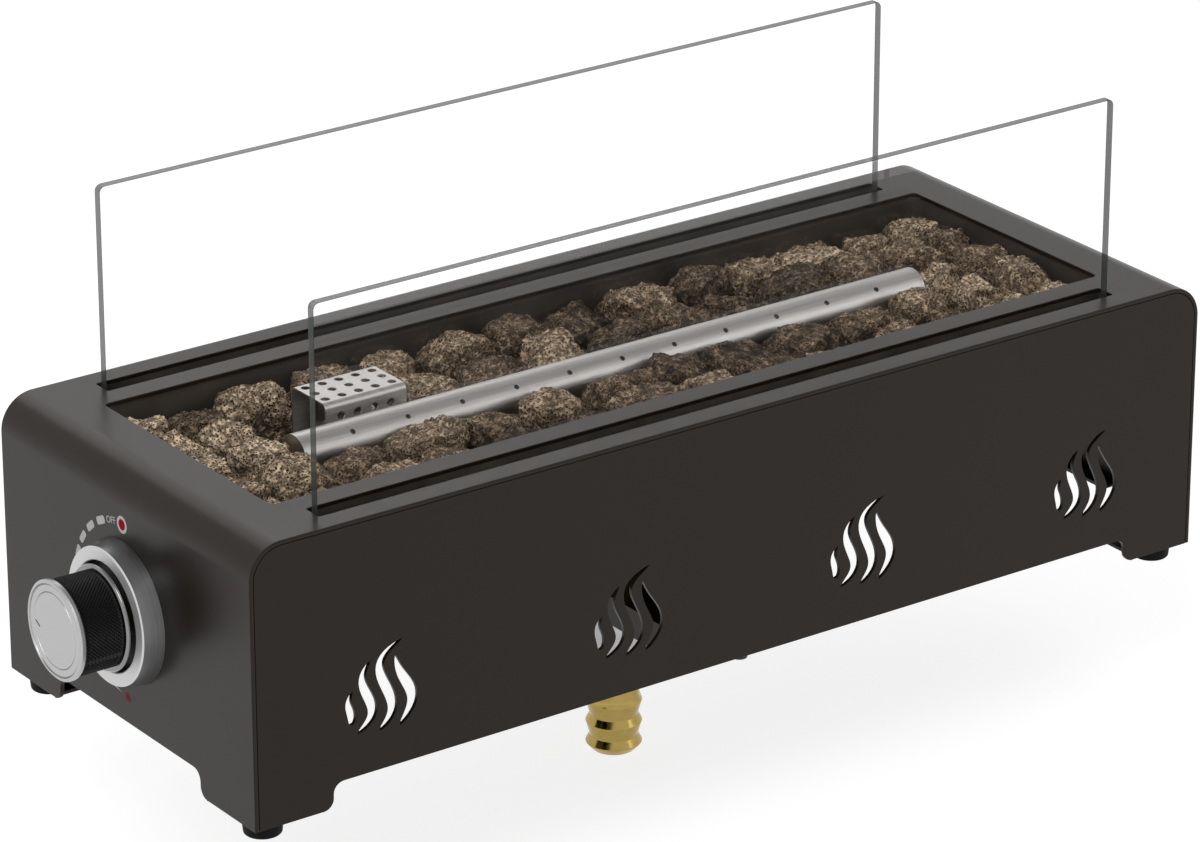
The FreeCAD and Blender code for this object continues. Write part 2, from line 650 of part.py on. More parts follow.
# ---- Burner ----
def half_round(x0, x1, inset):
    """Solid bar of the burner's section, smaller all round by inset."""
    radius = BURNER_RADIUS - inset
    round_top = rod_x(radius, x0, x1, 0, BURNER_Z)
    lower = box(x0, x1, -radius, radius, BURNER_BASE_Z + inset, BURNER_Z)
    below = box(x0 - 1, x1 + 1, -BURNER_RADIUS, BURNER_RADIUS, BURNER_BASE_Z - BURNER_RADIUS,
                BURNER_BASE_Z + inset)
    return join([round_top, lower]).cut(below)


def burner_tube():
    """Folded half-round tube with a row of ports along each shoulder."""
    half = BURNER_LENGTH / 2 - BURNER_END_SHEET
    tube = half_round(-half, half, 0).cut(half_round(-half - 1, half + 1, BURNER_SHEET))
    cuts = [rod_z(MIXER_RADIUS + NEST_GAP, BURNER_BASE_Z - 1, BURNER_BASE_Z + BURNER_SHEET + 1, RISER_X)]
    for k in range(PORT_COUNT):
        x = PORT_PITCH * (k - (PORT_COUNT - 1) / 2)
        for side in (-1, 1):
            angle = math.radians(PORT_ANGLE)
            y = side * math.sin(angle)
            z = math.cos(angle)
            inner = BURNER_RADIUS - 2 * BURNER_SHEET
            outer = BURNER_RADIUS + BURNER_SHEET
            cuts.append(small_hole(PORT_RADIUS, (x, y * inner, BURNER_Z + z * inner),
                                   (x, y * outer, BURNER_Z + z * outer)))
    return tube.cut(cuts)


def burner_end():
    """Left end plate with the spigot that fits inside the tube."""
    outside = -BURNER_LENGTH / 2
    inside = outside + BURNER_END_SHEET
    inset = BURNER_SHEET + NEST_GAP
    spigot = half_round(inside - BURNER_END_SHEET / 2, inside + END_SPIGOT, inset)
    hollow = half_round(inside, inside + END_SPIGOT + 1, inset + BURNER_SHEET)
    return join([half_round(outside, inside, 0), spigot.cut(hollow)])


def burner_screw_places():
    """Screws that hold the burner's brackets to the tray."""
    inner = BURNER_RADIUS - BURNER_BRACKET_SHEET - BURNER_BRACKET_FOOT / 2
    return [(side * BURNER_BRACKET_X, end * inner) for side in (-1, 1) for end in (-1, 1)]


def burner_bracket(side):
    """Folded saddle under one end of the burner."""
    x0 = side * BURNER_BRACKET_X - BURNER_BRACKET_LENGTH / 2
    x1 = x0 + BURNER_BRACKET_LENGTH
    sheet = BURNER_BRACKET_SHEET
    half = BURNER_RADIUS
    gap = half - sheet - BURNER_BRACKET_FOOT
    saddle = box(x0, x1, -half, half, FLOOR_Z, BURNER_BASE_Z)
    saddle = saddle.cut(box(x0, x1, -half + sheet, half - sheet, FLOOR_Z + sheet, BURNER_BASE_Z - sheet))
    saddle = saddle.cut(box(x0, x1, -gap, gap, FLOOR_Z, FLOOR_Z + sheet))
    holes = [rod_z(SCREW_RADIUS + SCREW_HOLE_GAP, FLOOR_Z - 1, FLOOR_Z + sheet + 1, x, y)
             for x, y in burner_screw_places()]
    return saddle.cut(holes)


def burner_screws():
    """Screws down through the brackets into the tray."""
    seat_z = FLOOR_Z + BURNER_BRACKET_SHEET
    radius = BURNER_BRACKET_FOOT / 2 - NEST_GAP
    return [screw((x, y, seat_z), (0, 0, -1), BURNER_SCREW_LENGTH, radius)
            for x, y in burner_screw_places()]


# ---- Mixer tube ----
def mixer_solid(radius):
    """Tube of one radius from the bell to the burner: a run, a bend and a riser."""
    start_x = VALVE_REAR_X + MIXER_BELL_START + MIXER_BELL_LENGTH
    bend_x = RISER_X - MIXER_BEND
    run = rod_x(radius, start_x, bend_x)
    ring = Part.makeTorus(MIXER_BEND, radius, Vector(0, 0, 0), Y_AXIS, -180, 180, 360)
    centre = Vector(bend_x, 0, KNOB_Z + MIXER_BEND)
    ring.translate(centre)
    reach = MIXER_BEND + MIXER_RADIUS + 1
    quarter = ring.common(box(bend_x, bend_x + reach, -reach, reach, centre.z - reach, centre.z))
    riser = rod_z(radius, centre.z, BURNER_BASE_Z + BURNER_SHEET + MIXER_WALL, RISER_X)
    return join([run, quarter, riser])


def mixer_tube():
    """Venturi: an air cup round the jet, a bell, and the tube up into the burner."""
    start = VALVE_REAR_X
    bell = start + MIXER_BELL_START
    throat = bell + MIXER_BELL_LENGTH
    wall = MIXER_WALL

    def cup(shrink, lead):
        cone = Part.makeCone(MIXER_CUP_RADIUS - shrink, MIXER_RADIUS - shrink, MIXER_BELL_LENGTH,
                             Vector(bell, 0, KNOB_Z), X_AXIS)
        return join([rod_x(MIXER_CUP_RADIUS - shrink, start - lead, bell), cone])

    collar = rod_z(COLLAR_RADIUS, TRAY_BOTTOM_Z - TRAY_SHEET, TRAY_BOTTOM_Z, RISER_X)
    outer = join([cup(0, 0), mixer_solid(MIXER_RADIUS), collar])
    tube = outer.cut(cup(wall, 1)).cut(mixer_solid(MIXER_RADIUS - wall))
    tube = tube.cut(rod_z(MIXER_RADIUS - wall, BURNER_BASE_Z, BURNER_BASE_Z + MIXER_CUP_RADIUS, RISER_X))
    tube = tube.cut(rod_x(MIXER_RADIUS - wall, throat - 1, throat + 1))
    window_x = start + ORIFICE_BOSS_REACH + AIR_WINDOW_SETBACK
    reach = MIXER_CUP_RADIUS + 1
    half = AIR_WINDOW / 2
    upright = box(window_x, window_x + AIR_WINDOW, -half, half, KNOB_Z - reach, KNOB_Z + reach)
    flat = box(window_x, window_x + AIR_WINDOW, -reach, reach, KNOB_Z - half, KNOB_Z + half)
    return tube.cut([upright, flat])


def orifice():
    """Brass jet screwed to the valve's outlet."""
    start = VALVE_REAR_X + ORIFICE_BOSS_REACH
    middle = start + ORIFICE_HEAD
    head = hexagon(ORIFICE_HEX, (start, 0, KNOB_Z), (middle, 0, KNOB_Z))
    nozzle = Part.makeCone(ORIFICE_HEX * 0.75, ORIFICE_HEX / 2, ORIFICE_NOZZLE,
                           Vector(middle, 0, KNOB_Z), X_AXIS)
    return join([head, nozzle]).cut(rod_x(ORIFICE_RADIUS, start - 1, middle + ORIFICE_NOZZLE + 1))


# ---- Valve ----
def gas_valve_body():
    """Valve with its mounting flange, nose for the spindle, inlet, outlet and magnet bosses."""
    front = -WALL_X
    flange_end = front + VALVE_FLANGE
    bottom = KNOB_Z - VALVE_DROP
    flange = box(front, flange_end, -VALVE_FLANGE_WIDTH / 2, VALVE_FLANGE_WIDTH / 2,
                 KNOB_Z - VALVE_FLANGE_HEIGHT / 2, KNOB_Z + VALVE_FLANGE_HEIGHT / 2)
    corners = [e for e in flange.Edges if e.BoundBox.XLength > VALVE_FLANGE / 2]
    flange = flange.makeFillet(VALVE_FLANGE_ROUND, corners)
    barrel = rod_x(VALVE_RADIUS, front, VALVE_REAR_X)
    skirt = box(flange_end, VALVE_REAR_X, -VALVE_SKIRT_WIDTH / 2, VALVE_SKIRT_WIDTH / 2, bottom, KNOB_Z)
    low = [e for e in skirt.Edges if e.CenterOfMass.z < bottom + 1 and e.BoundBox.XLength > 1]
    skirt = skirt.makeFillet(VALVE_SKIRT_ROUND, low)
    nose = rod_x(NOSE_RADIUS, NOSE_X, front)
    inlet_x = front + INLET_BOSS_X
    inlet = rod(INLET_BOSS_RADIUS, (inlet_x, 0, INLET_Z), (inlet_x, INLET_BOSS_REACH, INLET_Z))
    outlet = rod_x(ORIFICE_BOSS_RADIUS, VALVE_REAR_X - 1, VALVE_REAR_X + ORIFICE_BOSS_REACH)
    magnet = rod_x(MAGNET_RADIUS, VALVE_REAR_X - 1, VALVE_REAR_X + MAGNET_REACH, 0, KNOB_Z - MAGNET_DROP)
    body = join([flange, barrel, skirt, nose, inlet, outlet, magnet])
    spring_seat = front + NOSE_BORE_DEPTH
    tube_bore = TUBE_RADIUS + RUN_FIT
    bores = [rod_x(NOSE_BORE_RADIUS, NOSE_X - 1, spring_seat),
             rod_x(SPINDLE_PIN_RADIUS + SCREW_HOLE_GAP, spring_seat - 1, spring_seat + 2 * KNOB_PUSH),
             rod_x(ORIFICE_RADIUS, VALVE_REAR_X - 5, VALVE_REAR_X + ORIFICE_BOSS_REACH + 1),
             rod(tube_bore, (inlet_x, INLET_BOSS_REACH - TUBE_STEP_IN, INLET_Z),
                 (inlet_x, INLET_BOSS_REACH + 1, INLET_Z))]
    for end in (-1, 1):
        bores.append(rod_x(SCREW_RADIUS + RUN_FIT, front - 1, flange_end + 1, end * BEZEL_SCREW_Y))
    return body.cut(bores)


def piezo_igniter():
    """Piezo spark unit strapped along the valve's side."""
    start = -WALL_X + VALVE_FLANGE
    z = KNOB_Z + PIEZO_RAISE
    end = start + PIEZO_LENGTH
    strap_start, strap_end = PIEZO_STRAP
    half = PIEZO_STRAP_WIDTH / 2
    barrel = rod_x(PIEZO_RADIUS, start, end, PIEZO_Y, z)
    neck = rod_x(PIEZO_RADIUS / 2, end, end + PIEZO_NECK, PIEZO_Y, z)
    strap = box(start + strap_start, start + strap_end, 0, PIEZO_Y, z - half, z + half)
    return join([barrel, neck, strap]).cut(rod_x(VALVE_RADIUS + RUN_FIT, start, start + PIEZO_LENGTH))


def spindle_sleeve():
    """Guide bush that slides in the nose and in which the spindle turns."""
    outer = rod_x(NOSE_BORE_RADIUS - RUN_FIT, SLEEVE_X, SLEEVE_X + SLEEVE_LENGTH)
    return outer.cut(rod_x(SPINDLE_RADIUS + RUN_FIT, SLEEVE_X - 1, SLEEVE_X + SLEEVE_LENGTH + 1))


def valve_spindle():
    """Spindle with a collar behind its sleeve, a spring pin and a flat for the knob."""
    pin_x = COLLAR_X + SPINDLE_COLLAR
    tip_x = -HALF_LENGTH - SPINDLE_END
    shaft = rod_x(SPINDLE_RADIUS, tip_x, COLLAR_X)
    collar = rod_x(SPINDLE_COLLAR_RADIUS, COLLAR_X, pin_x)
    pin = rod_x(SPINDLE_PIN_RADIUS, pin_x, -WALL_X + NOSE_BORE_DEPTH - PIN_SHORT)
    spindle = join([shaft, collar, pin])
    flat = box(tip_x - 1, -HALF_LENGTH - KNOB_HUB_BACK, -SPINDLE_RADIUS, SPINDLE_RADIUS,
               KNOB_Z + SPINDLE_FLAT, KNOB_Z + 2 * SPINDLE_RADIUS)
    return spindle.cut(flat)


def spindle_clip():
    """Ring on the spindle that keeps the sleeve against the collar."""
    back = SLEEVE_X - RUN_FIT
    ring = rod_x(SPINDLE_COLLAR_RADIUS, back - CLIP_THICK, back)
    return ring.cut(rod_x(SPINDLE_RADIUS + RUN_FIT, back - CLIP_THICK - 1, back + 1))


def return_spring():
    """Coil spring between the spindle's collar and the bottom of the nose's bore."""
    seat = -WALL_X + NOSE_BORE_DEPTH
    start = COLLAR_X + SPINDLE_COLLAR + SPRING_WIRE + NEST_GAP
    length = seat - SPRING_WIRE - NEST_GAP - start
    helix = Part.makeHelix(length / SPRING_TURNS, length, SPRING_RADIUS)
    corners = [Vector(SPRING_RADIUS + u * SPRING_WIRE, 0, v * SPRING_WIRE)
               for u, v in ((1, 0), (0, 1), (-1, 0), (0, -1), (1, 0))]
    coil = Part.Wire(helix).makePipeShell([Part.makePolygon(corners)], True, True)
    coil.Placement = FreeCAD.Placement(Vector(start, 0, KNOB_Z), FreeCAD.Rotation(Z_AXIS, X_AXIS))
    return coil


# ---- Knob ----
def bezel():
    """Cast dish round the knob."""
    edge = BEZEL_EDGE
    hole = NOSE_RADIUS + RUN_FIT
    profile = [(0, hole), (0, BEZEL_RADIUS), (BEZEL_DEPTH - edge, BEZEL_FACE_RADIUS + edge / 2),
               (BEZEL_DEPTH, BEZEL_FACE_RADIUS - edge / 2), (BEZEL_DEPTH, BEZEL_POCKET_RADIUS + edge),
               (BEZEL_DEPTH - edge, BEZEL_POCKET_RADIUS), (BEZEL_FLOOR, BEZEL_POCKET_RADIUS),
               (BEZEL_FLOOR, hole)]
    dish = lathe_knob(profile)
    holes = [rod_x(SCREW_RADIUS + SCREW_HOLE_GAP, -HALF_LENGTH - BEZEL_DEPTH, -HALF_LENGTH + 1,
                   end * BEZEL_SCREW_Y) for end in (-1, 1)]
    return dish.cut(holes)


def bezel_screws():
    """Two screws that clamp the bezel and the valve to the end of the body."""
    length = BEZEL_FLOOR + SHEET + VALVE_FLANGE
    return [screw((-HALF_LENGTH - BEZEL_FLOOR, end * BEZEL_SCREW_Y, KNOB_Z), (1, 0, 0), length)
            for end in (-1, 1)]


def knob_body():
    """Moulded grip: outer wall, front web, hub with a flat, and four ribs behind."""
    ring_end = KNOB_BACK + KNOB_RING_WIDTH
    grip_end = KNOB_FACE - KNOB_CAP_THICK
    web = grip_end - KNOB_WALL
    inner = KNOB_RADIUS - KNOB_WALL
    profile = [(KNOB_BACK, inner), (KNOB_BACK, KNOB_RING_SEAT), (ring_end, KNOB_RING_SEAT),
               (ring_end, KNOB_RADIUS - KNOB_BEVEL), (ring_end + KNOB_BEVEL, KNOB_RADIUS),
               (grip_end, KNOB_RADIUS), (grip_end, 0), (KNOB_HUB_BACK, 0),
               (KNOB_HUB_BACK, KNOB_HUB_RADIUS), (web, KNOB_HUB_RADIUS), (web, inner)]
    body = lathe_knob(profile)
    x0 = -HALF_LENGTH - grip_end
    x1 = -HALF_LENGTH - KNOB_BACK - KNOB_WALL
    half = KNOB_RIB / 2
    reach = inner + KNOB_WALL / 2
    ribs = [box(x0 + KNOB_WALL / 2, x1, -reach, reach, KNOB_Z - half, KNOB_Z + half),
            box(x0 + KNOB_WALL / 2, x1, -half, half, KNOB_Z - reach, KNOB_Z + reach)]
    body = join([body] + ribs)
    bore = rod_x(SPINDLE_RADIUS + RUN_FIT, -HALF_LENGTH - SPINDLE_END - SPINDLE_TIP_GAP, -HALF_LENGTH)
    flat = box(-LENGTH, 0, -SPINDLE_RADIUS, SPINDLE_RADIUS, KNOB_Z + SPINDLE_FLAT + RUN_FIT, TOP_Z)
    return body.cut(bore.cut(flat))


def knob_cap():
    """Metal face with a raised rim, a turned ring and a short pointer."""
    back = KNOB_FACE - KNOB_CAP_THICK
    radius = KNOB_CAP_RADIUS
    groove = FACE_RING_RADIUS
    half = FACE_RING_WIDTH / 2
    depth = POINTER_DEPTH
    edge = CAP_EDGE
    sunk = KNOB_FACE - depth / 2
    profile = [(back, 0), (back, radius - edge), (back + edge, radius), (KNOB_FACE - edge, radius),
               (KNOB_FACE, radius - edge), (sunk, radius - edge - CAP_RIM), (sunk, groove + half),
               (KNOB_FACE - depth, groove), (sunk, groove - half), (sunk, 0)]
    cap = lathe_knob(profile)
    face_x = -HALF_LENGTH - KNOB_FACE
    end = KNOB_Z + groove - FACE_RING_WIDTH
    pointer = box(face_x - 1, face_x + 2 * depth, -POINTER_WIDTH / 2, POINTER_WIDTH / 2,
                  end - POINTER_LENGTH, end)
    pointer.rotate(Vector(0, 0, KNOB_Z), X_AXIS, -POINTER_ANGLE)
    return cap.cut(pointer)


def knob_ring():
    """Bright ring pressed on the back of the grip."""
    end = KNOB_BACK + KNOB_RING_WIDTH
    inner = KNOB_RING_SEAT + RUN_FIT
    outer = KNOB_RING_RADIUS
    third = KNOB_RING_WIDTH / 3
    profile = [(KNOB_BACK, inner), (KNOB_BACK, outer - third), (KNOB_BACK + third, outer),
               (end - third, outer), (end - RUN_FIT, outer - third), (end - RUN_FIT, inner)]
    return lathe_knob(profile)


# ---- Gas line ----
def bent_rod(points, radius, bend_radii):
    """Round bar along straight runs joined by tangent arcs."""
    path = [Vector(*p) for p in points]
    pieces = []
    start = path[0]
    for k in range(1, len(path) - 1):
        before = (path[k - 1] - path[k]).normalize()
        after = (path[k + 1] - path[k]).normalize()
        turn = math.pi - before.getAngle(after)
        bend = bend_radii[k - 1]
        reach = bend * math.tan(turn / 2)
        arc_start = path[k] + before * reach
        arc_end = path[k] + after * reach
        centre = path[k] + (before + after).normalize() * (bend / math.cos(turn / 2))
        section = Part.Face(Part.Wire(Part.makeCircle(radius, arc_start, before)))
        spin = before.cross(after)
        pieces.append(Part.makeCylinder(radius, (arc_start - start).Length, start, arc_start - start))
        pieces.append(section.revolve(centre, -spin, math.degrees(turn)))
        start = arc_end
    end = path[-1]
    pieces.append(Part.makeCylinder(radius, (end - start).Length, start, end - start))
    return join(pieces)


def lead_bends(name, points):
    """The largest arc that each turn of a lead has room for, also printed."""
    path = [Vector(*p) for p in points]
    radii = []
    for k in range(1, len(path) - 1):
        before = path[k - 1] - path[k]
        after = path[k + 1] - path[k]
        half_turn = (math.pi - before.getAngle(after)) / 2
        radii.append(0.45 * min(before.Length, after.Length) / math.tan(half_turn))
    print(name, "bend radii", [round(radius, 1) for radius in radii])
    return radii


def supply_tube():
    """Gas tube from the elbow, along the back of the mixer, to the valve's inlet, its bore left out."""
    start = (0, INLET_BOSS_REACH - TUBE_STEP_IN, INLET_Z)
    valve_x = -WALL_X + INLET_BOSS_X
    points = [start, (0, TUBE_LANE_Y, INLET_Z), (valve_x, TUBE_LANE_Y, INLET_Z),
              (valve_x, INLET_BOSS_REACH - TUBE_STEP_IN, INLET_Z)]
    return bent_rod(points, TUBE_RADIUS, [TUBE_BEND, TUBE_BEND])


def supply_nuts():
    """Compression nuts at both ends of the gas tube."""
    nuts = []
    for x in (0, -WALL_X + INLET_BOSS_X):
        start = (x, INLET_BOSS_REACH, INLET_Z)
        end = (x, INLET_BOSS_REACH + TUBE_NUT_LENGTH, INLET_Z)
        nuts.append(nut(start, end, TUBE_NUT_RADIUS, TUBE_RADIUS + RUN_FIT))
    return nuts


def locknut_top():
    """Height of the top of the inlet's locknut."""
    return BRACKET_Z + SHEET + LOCKNUT_HEIGHT


def inlet_elbow():
    """Brass elbow from the barb's thread to the gas tube."""
    base = locknut_top()
    upright = rod_z(ELBOW_RADIUS, base, ELBOW_TOP)
    rim = [e for e in upright.Edges if e.CenterOfMass.z > ELBOW_TOP - 1]
    upright = upright.makeFillet(ELBOW_ROUND, rim)
    outlet = rod(INLET_BOSS_RADIUS, (0, 0, INLET_Z), (0, INLET_BOSS_REACH, INLET_Z))
    cuts = [rod_z(BARB_THREAD_RADIUS + RUN_FIT, base - 1, base + BARB_THREAD_IN + THREAD_SHOWS),
            rod(TUBE_RADIUS + RUN_FIT, (0, INLET_BOSS_REACH - TUBE_STEP_IN, INLET_Z),
                (0, INLET_BOSS_REACH + 1, INLET_Z))]
    return join([upright, outlet]).cut(cuts)


def inlet_barb():
    """Turned hose barb with a hexagon under the bracket and a thread up through it."""
    profile = [(BARB_TIP_Z, BARB_BORE), (BARB_TIP_Z, BARB_TIP_RADIUS - BARB_TIP_EDGE),
               (BARB_TIP_Z + BARB_TIP_EDGE, BARB_TIP_RADIUS)]
    for k, crest_z in enumerate(BARB_CREST_Z):
        profile.append((crest_z, BARB_CREST_RADIUS))
        last = k == len(BARB_CREST_Z) - 1
        root = BARB_NECK_RADIUS if last else BARB_ROOT_RADIUS
        profile.append((crest_z + BARB_FLARE, root))
    thread_top = locknut_top() + BARB_THREAD_IN
    profile += [(BRACKET_Z, BARB_NECK_RADIUS), (BRACKET_Z, BARB_THREAD_RADIUS),
                (thread_top, BARB_THREAD_RADIUS), (thread_top, BARB_BORE)]
    turned = lathe(profile)
    spanner = hexagon(BARB_HEX, (0, 0, BRACKET_Z - BARB_HEX_HEIGHT), (0, 0, BRACKET_Z))
    spanner.rotate(Vector(0, 0, 0), Z_AXIS, 30)
    return join([turned, spanner.cut(rod_z(BARB_BORE, 0, BRACKET_Z + 1))])


def inlet_locknut():
    """Nut that clamps the barb to the bracket."""
    return nut((0, 0, BRACKET_Z + SHEET), (0, 0, locknut_top()), LOCKNUT_RADIUS,
               BARB_THREAD_RADIUS + RUN_FIT)


def bracket_screw_y():
    """Distance of the bracket's screws from the middle, on the panels' bottom flanges."""
    return PANEL_INNER_Y - SCREW_HEAD_RADIUS - NEST_GAP


def inlet_bracket():
    """Cross channel on the two bottom flanges, with ribs turned down beside the inlet."""
    half = BRACKET_WIDTH / 2
    reach = PANEL_INNER_Y - NEST_GAP
    rib_reach = HALF_WIDTH - BOTTOM_FLANGE - BRACKET_RIB_GAP
    web = box(-half, half, -reach, reach, BRACKET_Z, BRACKET_Z + SHEET)
    ribs = []
    for side in (-1, 1):
        x0, x1 = sorted((side * half, side * (half + SHEET)))
        ribs.append(box(x0, x1, -rib_reach, rib_reach, BRACKET_Z - BRACKET_RIB, BRACKET_Z + SHEET))
    holes = [rod_z(BARB_THREAD_RADIUS + SCREW_HOLE_GAP, BRACKET_Z - 1, BRACKET_Z + SHEET + 1)]
    for end in (-1, 1):
        holes.append(rod_z(SCREW_RADIUS + SCREW_HOLE_GAP, BRACKET_Z - 1, BRACKET_Z + SHEET + 1,
                           0, end * bracket_screw_y()))
    return join([web] + ribs).cut(holes)


def bracket_fasteners():
    """Screws up through the flanges and the bracket, and their nuts."""
    screws = []
    nuts = []
    seat_z = BRACKET_Z + SHEET
    for end in (-1, 1):
        y = end * bracket_screw_y()
        screws.append(screw((0, y, TOE_Z), (0, 0, 1), 2 * SHEET + NUT_HEIGHT + THREAD_SHOWS))
        nuts.append(nut((0, y, seat_z), (0, y, seat_z + NUT_HEIGHT), SCREW_HEAD_RADIUS))
    save("bracket_screws", *screws)
    save("bracket_nuts", *nuts)


# ---- Igniter ----
def shield_holes(rows, first, pitch):
    """Centres of a perforated face, as (x, across) pairs."""
    middle = (SHIELD_X[0] + SHIELD_X[1]) / 2
    columns = [middle + SHIELD_PITCH_X * (k - (SHIELD_COLUMNS - 1) / 2) for k in range(SHIELD_COLUMNS)]
    return [(x, first + pitch * row) for x in columns for row in range(rows)]


def igniter_shield():
    """Perforated cover over the electrode and the flame sensor, open at both ends."""
    x0, x1 = SHIELD_X
    y0, y1 = SHIELD_Y
    top = TOP_Z - SHIELD_DROP
    sheet = SHIELD_SHEET

    def hood(shrink, reach):
        block = box(x0 - reach, x1 + reach, y0 + shrink, y1 - shrink, FLOOR_Z, top - shrink)
        ridge = [e for e in block.Edges if e.BoundBox.XLength > 1 and e.CenterOfMass.z > top - 1 - shrink]
        return block.makeFillet(SHIELD_BEND - shrink, ridge)

    cover = hood(0, 0).cut(hood(sheet, 1))
    foot_plate = box(x0, x1, y1 - SHIELD_FOOT, y1, FLOOR_Z, FLOOR_Z + sheet)
    cover = join([cover, foot_plate])
    middle_y = (y0 + y1) / 2
    cuts = [box(x0 - 1, x1 + 1, y0 - 1, y0 + sheet + 1, FLOOR_Z - 1, top - SHIELD_LIP)]
    for x, y in shield_holes(SHIELD_TOP_ROWS, middle_y - SHIELD_PITCH_Y * (SHIELD_TOP_ROWS - 1) / 2,
                             SHIELD_PITCH_Y):
        cuts.append(small_hole(SHIELD_HOLE, (x, y, top - 2 * sheet), (x, y, top + sheet)))
    for x, z in shield_holes(SHIELD_SIDE_ROWS, top - SHIELD_PITCH_Y, -SHIELD_PITCH_Y):
        cuts.append(small_hole(SHIELD_HOLE, (x, y0 - sheet, z), (x, y0 + 2 * sheet, z)))
    return cover.cut(cuts)


def spark_electrode():
    """Ceramic insulator with a shoulder on the tray's floor."""
    x, y = ELECTRODE_XY
    return join([rod_z(ELECTRODE_RADIUS, TRAY_BOTTOM_Z - ELECTRODE_TAIL, FLOOR_Z + ELECTRODE_TOP, x, y),
                 rod_z(SHOULDER_RADIUS, FLOOR_Z, FLOOR_Z + SHOULDER_HEIGHT, x, y)])


def electrode_wire():
    """Spark wire from the ceramic's tip, bent towards the burner."""
    x, y = ELECTRODE_XY
    base = FLOOR_Z + ELECTRODE_TOP
    tip_y = SHIELD_Y[0] + SHIELD_SHEET + WIRE_TIP_GAP
    points = [(x, y, base), (x, y, base + WIRE_RISE), (x, tip_y, base + WIRE_RISE + WIRE_SLOPE)]
    return bent_rod(points, WIRE_RADIUS, [WIRE_BEND])


def thermocouple():
    """Flame sensor with a shoulder on the tray's floor and a rounded tip."""
    x, y = PROBE_XY
    sensor = rod_z(PROBE_RADIUS, TRAY_BOTTOM_Z - ELECTRODE_TAIL, FLOOR_Z + PROBE_TOP, x, y)
    tip = [e for e in sensor.Edges if e.CenterOfMass.z > FLOOR_Z + PROBE_TOP - 1]
    sensor = sensor.makeFillet(PROBE_TIP_ROUND, tip)
    return join([sensor, rod_z(SHOULDER_RADIUS, FLOOR_Z, FLOOR_Z + SHOULDER_HEIGHT, x, y)])


def probe_nuts():
    """Nuts under the tray that hold the electrode and the sensor."""
    nuts = []
    for (x, y), radius in ((ELECTRODE_XY, ELECTRODE_RADIUS), (PROBE_XY, PROBE_RADIUS)):
        nuts.append(nut((x, y, TRAY_BOTTOM_Z), (x, y, TRAY_BOTTOM_Z - PROBE_NUT_HEIGHT),
                        PROBE_NUT_RADIUS, radius + RUN_FIT))
    return nuts


def ignition_lead():
    """Insulated lead from the piezo unit to the electrode's lower end."""
    x, y = ELECTRODE_XY
    end_z = TRAY_BOTTOM_Z - ELECTRODE_TAIL
    start_x = -WALL_X + VALVE_FLANGE + PIEZO_LENGTH + PIEZO_NECK
    start_z = KNOB_Z + PIEZO_RAISE
    low_z = end_z - LEAD_SAG
    points = [(start_x, PIEZO_Y, start_z), (start_x + LEAD_START, PIEZO_Y, start_z),
              (x - LEAD_RUN, y, low_z), (x, y, low_z), (x, y, end_z)]
    return bent_rod(points, LEAD_RADIUS, lead_bends("ignition lead", points))


def thermocouple_lead():
    """Copper capillary from the sensor to the valve's magnet."""
    x, y = PROBE_XY
    end_z = TRAY_BOTTOM_Z - ELECTRODE_TAIL
    start_x = VALVE_REAR_X + MAGNET_REACH + MAGNET_NUT_LENGTH
    start_z = KNOB_Z - MAGNET_DROP
    points = [(start_x, 0, start_z), (start_x + CAPILLARY_START, 0, start_z),
              (x + CAPILLARY_TURN[0], y + CAPILLARY_TURN[1], start_z + CAPILLARY_TURN[2]),
              (x, y, end_z - CAPILLARY_RISE), (x, y, end_z)]
    return bent_rod(points, CAPILLARY_RADIUS, lead_bends("sensor lead", points))


def magnet_nut():
    """Union nut of the sensor's lead at the valve."""
    start_x = VALVE_REAR_X + MAGNET_REACH
    z = KNOB_Z - MAGNET_DROP
    return hexagon(MAGNET_RADIUS, (start_x, 0, z), (start_x + MAGNET_NUT_LENGTH, 0, z))


# ---- Lava rocks ----
def rock_seeds(dice):
    """Jittered middles of the rocks: two rows each side of the burner, and two past each end."""
    half_burner = BURNER_LENGTH / 2 + ROCK_CLEAR_BURNER
    seeds = []

    def place(name, x, y):
        shift_x = dice.uniform(-ROCK_JITTER, ROCK_JITTER)
        shift_y = dice.uniform(-ROCK_JITTER, ROCK_JITTER) / 2
        seeds.append((name, x + shift_x, y + shift_y))

    count = int(2 * half_burner / ROCK_PITCH)
    pitch = 2 * half_burner / count
    burner_side = BURNER_RADIUS + ROCK_CLEAR_BURNER
    rows_y = [burner_side + share * (TRAY_HALF_Y - burner_side) for share in ROCK_ROWS]
    for end, name in ((-1, "front"), (1, "back")):
        for row_y in rows_y:
            for k in range(count):
                x = pitch * (k + 0.5) - half_burner
                beside_shield = SHIELD_X[0] - ROCK_SHIELD_X < x < SHIELD_X[1] + ROCK_SHIELD_X
                if end == 1 and row_y == rows_y[0] and beside_shield:
                    continue
                place(name, x, end * row_y)
    end_space = TRAY_HALF_X - half_burner
    for side, name in ((-1, "left"), (1, "right")):
        for column in ROCK_END_COLUMNS:
            for row in range(ROCK_END_ROWS):
                y = 2 * TRAY_HALF_Y * ((row + 0.5) / ROCK_END_ROWS - 0.5)
                place(name, side * (half_burner + end_space * column), y)
    return seeds


def clip(solid, point, normal):
    """What is left of a solid behind a plane."""
    size = LENGTH
    slab = Part.makeBox(size, size, size, Vector(-size / 2, -size / 2, 0))
    slab.Placement = FreeCAD.Placement(point, FreeCAD.Rotation(Z_AXIS, normal))
    return solid.cut(slab)


